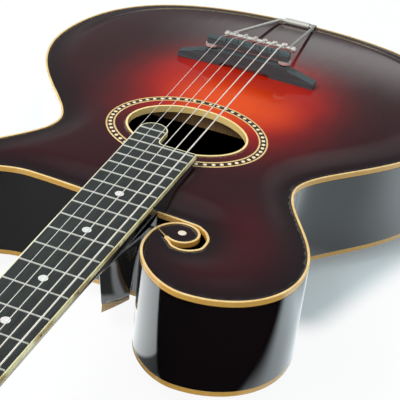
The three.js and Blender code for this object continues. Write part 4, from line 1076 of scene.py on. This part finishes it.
def post_stem():
    """The post, with the waist that its string winds on."""
    waist, top = POST_RADIUS * 0.72, OVERLAY + POST_HEIGHT
    foot = KEY_DROP - 1.9
    profile = [(0, foot), (POST_RADIUS * 0.8, foot), (POST_RADIUS, foot + 0.4)]
    marks = ((POST_RADIUS, 0.38), (waist * 1.08, 0.46), (waist, 0.58), (waist * 1.08, 0.7))
    for radius, share in (*marks, (POST_RADIUS, 0.8)):
        profile.append((radius, OVERLAY + POST_HEIGHT * share))
    return turned(profile + [(POST_RADIUS, top - 0.7), (POST_RADIUS * 0.75, top - 0.1), (0, top)])


def key_knob(side):
    knob = bmesh.new()
    place = shift(side * KNOB_OUT, 0, 0) @ Matrix.Diagonal((*KNOB_HALF, 1))
    bmesh.ops.create_uvsphere(knob, u_segments=32, v_segments=20, radius=1, matrix=place)
    for vert in knob.verts:
        out = (vert.co.x * side - KNOB_OUT) / KNOB_HALF[0]
        vert.co.y *= 1 - 0.22 * cos(out * pi / 2)
        vert.co.z *= 1 + 0.1 * out
    return knob


def build_tuners():
    lip, rim = OVERLAY + 1.0, OVERLAY + 1.5
    ferrule = [(POST_BORE, OVERLAY), (5.4, OVERLAY), (5.2, lip), (4.4, rim), (POST_BORE, rim)]
    for name, (x, y) in POST_SPOTS.items():
        side = 1 if x > 0 else -1
        here = HEAD @ shift(x, y, 0)
        post = join(post_stem(), plate(gear_run(), KEY_DROP - 1.5, KEY_DROP + 1.5))
        ride = {"place": here, "body": "post_" + name}
        add_piece("post_" + name, post, NICKEL, "string_post_" + name, **ride)
        add_piece("ferrule_" + name, turned(ferrule), NICKEL, place=here)
        key = {"place": HEAD @ shift(x, y + KEY_OFFSET, KEY_DROP), "body": "key_" + name}
        add_piece("knob_" + name, key_knob(side), IVORY, "button_" + name, **key)
        stub = turned(COLLAR, shift(COLLAR_STARTS[side], 0, 0) @ LAID)
        add_piece("collar_" + name, stub, NICKEL, **key)
        dress("worm_shaft_" + name, NICKEL)
        screws = bmesh.new()
        for along in (-7.5, 16.5):
            place = shift(x + side * 3.6, y + along, -HEAD_THICKNESS - 1.7)
            add_disc(screws, place, (1.2, 1.9), 0.6, 20)
        add_piece("plate_screws_" + name, screws, NICKEL, place=HEAD)
    for name in SIDES:
        dress(name + "_tuner_plate", NICKEL, bevel=0.25)


# Bridge

SADDLE_ACTION = 7.2
BRIDGE_Y = (NECK_TO_BODY @ Vector((0, SADDLE_Y, SADDLE_ACTION))).y
BRIDGE_FOOT = float(top_z([(0, BRIDGE_Y)])[0])
BLOCK_TOP = BRIDGE_FOOT + 14.5
WHEEL_FOOT = BLOCK_TOP + 1.6
WHEEL_TOP = WHEEL_FOOT + 2.8
SADDLE_FOOT = WHEEL_TOP + 0.3
SADDLE_SHOULDER = SADDLE_FOOT + 5.6
FOOT_HALF, SADDLE_HALF, ARCH_HALF = 69, 41, 27
FOOT_SINK = 8  # how far the foot is drawn below the top's crown before it is cut to the carving
WHEEL_OUT, WHEEL_RADIUS, WHEEL_NOTCH, WHEEL_STEPS = 37, 6, 5.72, 96
THREAD_RADII, THREAD_STEP = (1.5, 1.82), 0.4
STRING_RADII = [0.62, 0.48, 0.37, 0.3, 0.24, 0.2]
STRING_COUNT = 6
COMPENSATION = [2.4, 1.2, 0, 1.6, 0.4, -0.8]
SADDLE_SPREAD, NUT_SPREAD, BAR_SPREAD = 56.4, 36.5, 50


def string_x(spread, i):
    return spread * (i / (STRING_COUNT - 1) - 0.5)


def saddle_point(i):
    y = SADDLE_Y - COMPENSATION[i]
    return NECK_TO_BODY @ Vector((string_x(SADDLE_SPREAD, i), y, SADDLE_ACTION))


def upright(profile, thickness):
    """A slab cut to a profile in x and height, with its thickness along the strings."""
    return moved(plate(profile, -thickness / 2, thickness / 2), shift(0, BRIDGE_Y, 0) @ TIPPED)


def bridge_profile():
    arch = [(0, 4), (12, 3.9), (20, 3.2), (25, 1.6), (ARCH_HALF, -FOOT_SINK)]
    half = through([(x, BRIDGE_FOOT + z) for x, z in arch], 24)[:-1]
    for share in shares(24):
        half.append((mix(ARCH_HALF, FOOT_HALF, share), BRIDGE_FOOT - FOOT_SINK))
    tip = BRIDGE_FOOT + 5.2
    shoulder = [(67.2, tip - 0.3)]
    for x, share in ((58, 0.5), (51, 0.66), (44.5, 0.74), (41.6, 0.84)):
        shoulder.append((x, mix(BRIDGE_FOOT, BLOCK_TOP, share)))
    half += [(FOOT_HALF, tip - 1.0), *through(shoulder, 20)]
    half += [(SADDLE_HALF, BLOCK_TOP - 0.6), (40.2, BLOCK_TOP)]
    return half + [(-x, z) for x, z in half[:0:-1]]


def saddle_trunk():
    """The saddle's slab with a crest under each string."""
    wide, high = SADDLE_HALF, SADDLE_SHOULDER
    trunk = upright(box_run(wide, SADDLE_FOOT, high), 8)
    pitch = SADDLE_SPREAD / (STRING_COUNT - 1)
    for i, radius in enumerate(STRING_RADII):
        at = saddle_point(i)
        left = -wide if i == 0 else at.x - pitch / 2
        right = wide if i == STRING_COUNT - 1 else at.x + pitch / 2
        foot, crown = high - 0.5, at.z - radius - 0.02
        run = [(-2.6, foot), (2.6, foot), (1.5, crown - 0.9), (0.5, crown), (-0.5, crown)]
        run.append((-1.5, crown - 0.9))
        ends = (left + 0.05, right - 0.05)
        join(trunk, loft([[(x, at.y + y, z) for y, z in run] for x in ends]))
    return trunk


def build_bridge():
    base = upright(bridge_profile(), 12)
    foot = [v for v in base.verts if v.co.z < BRIDGE_FOOT - FOOT_SINK + 1]
    for vert, z in zip(foot, top_z([v.co.xy for v in foot])):
        vert.co.z = z + 0.05
    add_piece("bridge_foot", base, EBONY_BRIDGE, "bridge_base", bevel=0.7)
    trunk = saddle_trunk()
    add_piece("saddle_top", trunk, EBONY_BRIDGE, "bridge_saddle", body="saddle", bevel=0.35)
    edge = [WHEEL_RADIUS if k % 4 < 2 else WHEEL_NOTCH for k in range(WHEEL_STEPS)]
    teeth = [polar(reach, 2 * pi * k / WHEEL_STEPS) for k, reach in enumerate(edge)]
    low, high = BLOCK_TOP - 7.6, SADDLE_FOOT + 3.4
    turns = int((high - low) / THREAD_STEP)
    thread = [(THREAD_RADII[k % 2], low + THREAD_STEP * k) for k in range(turns + 1)]
    thread = [(0, low), *thread, (0, low + THREAD_STEP * turns)]
    for name, side in SIDES.items():
        here = BODY @ shift(side * WHEEL_OUT, BRIDGE_Y, 0)
        ride = {"place": here, "body": "wheel_" + name, "bevel": 0.2}
        wheel = plate(teeth, WHEEL_FOOT, WHEEL_TOP, [ellipse(2, 2, 24, (0, 0))])
        add_piece("wheel_" + name, wheel, NICKEL, "thumbwheel_" + name, **ride)
        stud = turned(thread, steps=24)
        add_piece("stud_" + name, stud, NICKEL, "bridge_stud_" + name, place=here, crease=20)


# Tailpiece

BAR_Y = BRIDGE_Y - 35
BAR_RISE, BAR_RADIUS, BAR_HALF, BALL = 31, 2.3, 31, 3.3
BAR_PIN = [(0, 0), (1.2, 0), (1.2, 2.9), (1.7, 3.1), (1.75, 3.6), (1.1, 4.0), (0, 4.05)]
WIRE_RADIUS = 1.7
KNUCKLE_Y, KNUCKLE_RISE, KNUCKLE_RADIUS = -BODY_LENGTH + 27, 8.5, 3.4
KNUCKLE_HALF = [(1.9, 13.7), (3.1, 13.7), (KNUCKLE_RADIUS, 13.3)]
BRACKET_Y = -BODY_LENGTH - 0.3
BRACKET_HALF, BRACKET_DROP, BRACKET_THICKNESS = 15.5, 46, 1.6
END_PIN = [(0, 0), (4.5, 0), (3.4, 2.4), (3.0, 4.4), (3.4, 5.6), (4.6, 6.8), (5.7, 8.4), (6, 9.4)]
END_PIN += [(5.4, 10.5), (3.6, 11), (0, 11)]


def rounded(points, reach, steps=8):
    """A bent line whose corners are eased."""
    points = [Vector(p) for p in points]
    line = [points[0]]
    for before, here, after in zip(points, points[1:], points[2:]):
        back, on = before - here, after - here
        first = here + back.normalized() * min(reach, back.length * 0.45)
        last = here + on.normalized() * min(reach, on.length * 0.45)
        for t in shares(steps):
            line.append(first * (1 - t) ** 2 + here * 2 * t * (1 - t) + last * t * t)
    return line + [points[-1]]


def cross_bar():
    collar = BAR_RADIUS * 1.25
    half = [(BAR_RADIUS, 0), (BAR_RADIUS, BAR_HALF - 1.2), (collar, BAR_HALF - 0.9)]
    half += [(collar, BAR_HALF - 0.1), (BAR_RADIUS * 0.9, BAR_HALF + 0.2)]
    for share in shares(12)[:-1]:
        t = pi * mix(0.16, 1, share)
        half.append((BALL * sin(t), BAR_HALF + BALL * (1 - cos(t))))
    half.append((0, BAR_HALF + 2 * BALL))
    profile = [(r, -h) for r, h in half[:0:-1]] + half
    bar = turned(profile, shift(0, BAR_Y, BAR_RISE) @ LAID, 28)
    for i in range(STRING_COUNT):
        join(bar, turned(BAR_PIN, shift(string_x(BAR_SPREAD, i), BAR_Y, BAR_RISE), 16))
    return bar


def tail_bracket():
    """A strap bent over the tail's edge, as far as its hinge's knuckle."""
    start = (0, KNUCKLE_Y - 3, KNUCKLE_RISE - KNUCKLE_RADIUS + 0.15)
    line = rounded([start, (0, BRACKET_Y, 0.5), (0, BRACKET_Y, -BRACKET_DROP)], 6)
    rings = []
    for point, along in followed(line):
        out = along.cross(Vector((1, 0, 0))).normalized() * BRACKET_THICKNESS
        half = Vector((BRACKET_HALF - (5 if point == line[-1] else 0), 0, 0))
        rings.append([point - half, point + half, point + half + out, point - half + out])
    other = [(r, -h) for r, h in KNUCKLE_HALF]
    profile = other + KNUCKLE_HALF[::-1] + other[:1]
    return join(loft(rings), turned(profile, shift(0, KNUCKLE_Y, KNUCKLE_RISE) @ LAID, 28))


def build_tailpiece():
    add_piece("string_bar", cross_bar(), NICKEL, "tailpiece_crossbar")
    back = BAR_Y - BAR_RADIUS - WIRE_RADIUS + 0.2
    leg = [(30, back, BAR_RISE), (19.2, KNUCKLE_Y + 3.4, KNUCKLE_RISE + 0.85)]
    leg.append((15.8, KNUCKLE_Y, KNUCKLE_RISE))
    path = rounded([(-x, y, z) for x, y, z in leg] + leg[::-1], 5)
    add_piece("tail_wire", tube(path, WIRE_RADIUS, 16), NICKEL, "tailpiece_wire")
    add_piece("tail_hinge", tail_bracket(), NICKEL_SOFT, "tail_bracket", bevel=0.25)
    add_piece("end_pin", turned(END_PIN, shift(0, BRACKET_Y - 0.8, -34) @ TIPPED), EBONY_BRIDGE)


# Strings

STRING_POSTS = ["bass_1", "bass_2", "bass_3", "treble_3", "treble_2", "treble_1"]
WOUND_STRINGS = 4
WRAP_HEIGHT = OVERLAY + POST_HEIGHT * 0.58
COIL_STEPS, LOOP_BORE = 20, 1.5


def string_coil(radius, side):
    reach = POST_RADIUS * 0.76 + radius
    points = []
    for turn in (s / COIL_STEPS for s in range((3 if radius > 0.4 else 5) * COIL_STEPS + 1)):
        t = (pi if side > 0 else 0) + side * 2 * pi * turn
        z = WRAP_HEIGHT - turn * radius * 2.05 + 0.4
        points.append((*polar(reach, t), z))
    return tube(points, radius, 8)


def string_loop(radius, x, start, crest):
    """The loop round its pin and the lapped end that runs on from it."""
    outer = LOOP_BORE + 2 * radius
    run = [(LOOP_BORE, -radius), (outer, -radius), (outer, radius), (LOOP_BORE, radius)]
    loop = turned(run + run[:1], shift(x, BAR_Y, start.z), 20)
    path = [start.lerp(crest, s) for s in (0, 0.12, 0.24, 0.3)]
    return join(loop, tube(path, lambda s: radius * (1.75 - 0.7 * s**4), 12))


def build_strings():
    for i, (radius, name) in enumerate(zip(STRING_RADII, STRING_POSTS)):
        label = "string_%d" % (STRING_COUNT - i)
        finish = WOUND if i < WOUND_STRINGS else PLAIN
        x, y = POST_SPOTS[name]
        side = 1 if x > 0 else -1
        lift = radius + 0.1
        bar_x = string_x(BAR_SPREAD, i)
        start = Vector((bar_x, BAR_Y + 1.9, BAR_RISE + BAR_RADIUS + lift))
        crest = saddle_point(i)
        nut = NECK_TO_BODY @ Vector((string_x(NUT_SPREAD, i), NUT_Y + 1.25, 1.2))
        wrap = Vector((x - side * (POST_RADIUS + lift * 0.7), y, WRAP_HEIGHT))
        spans = ((start, crest, 6), (crest, nut, 12), (nut, HEAD_TO_BODY @ wrap, 2))
        after, before, beyond = (
            tube([first.lerp(last, share) for share in shares(steps)], radius, 10)
            for first, last, steps in spans
        )
        tail = add_piece(label + "_tail", after, finish)
        tail.parent = None
        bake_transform(tail)
        open_string = add_piece(label + "_open", before, finish, label)
        open_string.parent = None
        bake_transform(open_string)
        add_piece(label + "_head", beyond, finish)
        ride = {"place": HEAD @ shift(x, y, 0), "body": "post_" + name}
        add_piece(label + "_coil", string_coil(radius, side), finish, **ride)
        add_piece(label + "_loop", string_loop(radius, bar_x, start, crest), finish)


# What the pieces are made of

BURST = sunburst_lacquer()
BLACK = black_lacquer()
IVORY = ivory("ivory", (0.90, 0.68, 0.32), (0.62, 0.33, 0.065))
IVORY_DEEP = ivory("ivory_deep", (0.80, 0.55, 0.21), (0.64, 0.39, 0.12))
IVORY_LIP = ivory("ivory_lip", (1.0, 0.82, 0.40), (0.94, 0.68, 0.26))
IVORY_DOT = ivory("ivory_dot", (1.0, 0.86, 0.58), (0.92, 0.70, 0.36))
BOARD_EDGE = board_binding_wear_and_shade()
EDGE_FOOT_TONE = board_edge_foot()
RING_TONES = (0.012, 0.004, 0.004), (0.03, 0.010, 0.008)
BOARD_TONES = (0.016, 0.020, 0.020), (0.036, 0.042, 0.040)
BRIDGE_TONES = (0.030, 0.046, 0.050), (0.070, 0.096, 0.102)
RING_DARK = dark_wood("ring_dark", "dark_inlay", *RING_TONES, 0.2, 0.6, (300, 300, 300))
EBONY_BOARD = dark_wood("ebony_board", "ebony", *BOARD_TONES, 0.34, 0.15, (700, 14, 700))
EBONY_BRIDGE = dark_wood("ebony_bridge", "ebony", *BRIDGE_TONES, 0.42, 0.15, (16, 500, 500))
SPRUCE, MAHOGANY = (
    grained(name, "", WOOD_STOPS, 0.0004, (1.0, 3, stretch, 0.55), Roughness=0.72)
    for name, stretch in (("spruce", (500, 12, 30)), ("mahogany", (90, 90, 12)))
)
BONE_GRAIN = (1.0, 3, (120, 600, 600))
BONE = grained("bone", "pearl", BONE_STOPS, 0.0001, BONE_GRAIN, Roughness=0.34, Coat_Weight=0.2)
PEARL = pearl()
NICKEL = nickel("nickel", 0.16, (0.74, 0.73, 0.68))
NICKEL_SOFT = nickel("nickel_soft", 0.24, (0.72, 0.72, 0.66))
FRET_METAL = nickel("fret_metal", 0.24, (0.68, 0.70, 0.64), (1, 20, 20))
WOUND = string_metal("wound_string", (1.0, 0.95, 0.86), 0.9)
PLAIN = string_metal("plain_string", (0.88, 0.88, 0.86), 0)

build_plates()
build_rim()
build_rosette()
build_eye()
build_board()
build_shaft()
build_heel()
build_head()
build_tuners()
build_bridge()
build_tailpiece()
build_strings()
dress("top_brace", SPRUCE)
for block_name in ("neck_block", "scroll_block", "tail_block", "top_lining", "back_lining"):
    dress(block_name, MAHOGANY)


# Stage, lamps and camera, in metres

# The second paper tone is a bluish painted shade tint for where the object's shadow falls.
PAPER, PAPER_SHADOW_TINT, PAPER_SHEEN = (0.89, 0.94, 0.96), (0.78, 0.93, 0.97), (0.93, 0.97, 1.0)
SHEEN, WHITENESS, SHADOW_DEPTH = 0.68, 0.92, 0.77
KEY_TINT, ROOM_TINT, ROOM_LIGHT = (1, 0.98, 0.96), (0.90, 0.97, 1.0), 0.6
CAMERA_PLACE, CAMERA_LENS, CAMERA_SENSOR = (-0.2826, 0.8931, 0.5125), 95.34, 36
CAMERA_RIGHT = Vector((-0.91894, -0.38140, 0.10038))
CAMERA_UP = Vector((0.27401, -0.43436, 0.85805))
CAMERA_LOOK = Vector((0.28366, -0.81601, -0.50366))


def shadow_field(x, y):
    """Where the floor keeps the shadow that the photograph shows, from 0 to 1."""
    field = (y * 0.316 - x * 0.95).falling(0.192, 0.224) * x.within((-0.25, -0.2), (0.22, 0.5))
    field *= y.within((-0.5, -0.25), (0.185, 0.225))
    return field + y.within((0.42, 0.56), (0.9, 1.2)) * 0.7


def mirrored_field(x, y):
    """How much of the floor's light reaches the lacquer's mirror, from 0 to 1."""
    kept = (y - x * 0.2).falling(0.362, 0.3705)
    kept *= 1 - (y - x * 0.75).rising(0.425, 0.468) * x.falling(-0.15, -0.1)
    treble = (x + y * 0.12).rising(0.112, 0.120) * y.rising(0.22, 0.26)
    kept = kept * (1 - treble) + treble * 0.11
    bass = x.falling(-0.18, -0.14)
    kept *= 1 - bass * 0.12
    kept *= 1 - bass * y.within((0.02, 0.115), (0.14, 0.2)) * 0.5
    by_heel = x.within((-0.06, -0.05), (-0.03, -0.024))
    kept *= 1 - by_heel * (y.rising(0.257, 0.264) + y.falling(0.247, 0.253)) * 0.85
    return kept * (1 - y.falling(-0.3, -0.22) * 0.88)


def build_stage():
    """A paper floor that the camera, the mirrors and all other rays see each in its own way."""
    bm = bmesh.new()
    bmesh.ops.create_grid(bm, x_segments=2, y_segments=2, size=6)
    floor = linked("floor", mesh_of("floor", bm))
    finish = Finish("floor_paper", "", Roughness=1.0, Specular_IOR_Level=0.0)
    plain = Wire(finish, finish.surface.outputs[0])
    x, y = finish.axis("X"), finish.axis("Y")
    # A bluish tint of the paper where the object's shadow falls: painted shade colour.
    shadow_tint_zone = x.within((-0.45, -0.3), (-0.12, -0.02)) * y.within((-0.3, -0.1), (0.25, 0.4))
    finish.set(Base_Color=finish.blend(shadow_tint_zone, PAPER, PAPER_SHADOW_TINT))
    lit = finish.either(WHITENESS - shadow_field(x, y) * SHADOW_DEPTH, plain, finish.glow(1.0))
    pale = finish.node("AddShader", {0: plain, 1: finish.glow(SHEEN, PAPER_SHEEN)})
    shown = finish.either(1 - mirrored_field(x, y), pale, finish.glow(0.0, (0, 0, 0)))
    shining = finish.either(finish.ray("Glossy"), plain, shown)
    finish.end(finish.either(finish.ray("Camera"), shining, lit))
    floor.data.materials.append(finish.material)


def add_lamp(name, place, target, size, power, colour):
    lamp = bpy.data.lights.new(name, "AREA")
    lamp.shape = "RECTANGLE"
    lamp.size, lamp.size_y = size
    lamp.energy = power
    lamp.color = colour
    made = linked(name, lamp)
    made.location = place
    made.rotation_euler = (Vector(target) - Vector(place)).to_track_quat("-Z", "Y").to_euler()
    made.visible_glossy = False


def build_light():
    add_lamp("key", (1.0, 0.75, 1.5), (0, 0.05, 0.08), (1.2, 0.9), 31, KEY_TINT)
    add_lamp("fill", (-1.3, 0.9, 1.3), (0, 0.1, 0.05), (1.4, 1.0), 3, (1, 1, 1))
    world = bpy.data.worlds.new("studio")
    bpy.context.scene.world = world
    world.use_nodes = True
    room = Room(world)
    direction = room.node("TexCoord", output="Generated")
    split = [room.node("SeparateXYZ", {0: direction}, axis) for axis in "XYZ"]
    across, ahead, height = split
    soft_box = height.within((0.18, 0.23), (0.27, 0.42)) * across.falling(0.22, 0.42)
    behind = height.rising(0.02, 0.15) * 0.11 + height.rising(0.68, 0.82) * 0.25 + 0.1
    behind += across.falling(-0.2, 0.05) * height.rising(0.3, 0.45) * 0.3 + soft_box * 0.85
    front = ahead.rising(-0.05, 0.15)
    shine = behind * (1 - front) + front * 0.9
    soft = room.glow(ROOM_LIGHT, ROOM_TINT)
    inner = room.either(room.ray("Glossy"), soft, room.glow(shine))
    room.end(room.either(room.ray("Camera"), inner, room.glow(1.0)))


def build_camera():
    camera = bpy.data.cameras.new("camera")
    camera.sensor_width = CAMERA_SENSOR
    camera.lens = CAMERA_LENS
    camera.clip_start, camera.clip_end = 0.05, 50
    made = linked("camera", camera)
    turn = Matrix((CAMERA_RIGHT, CAMERA_UP, -CAMERA_LOOK)).transposed().to_4x4()
    made.matrix_world = shift(*CAMERA_PLACE) @ turn
    bpy.context.scene.camera = made


build_stage()
build_light()
build_camera()
bpy.context.scene.view_settings.view_transform = "Standard"

bpy.context.view_layer.update()
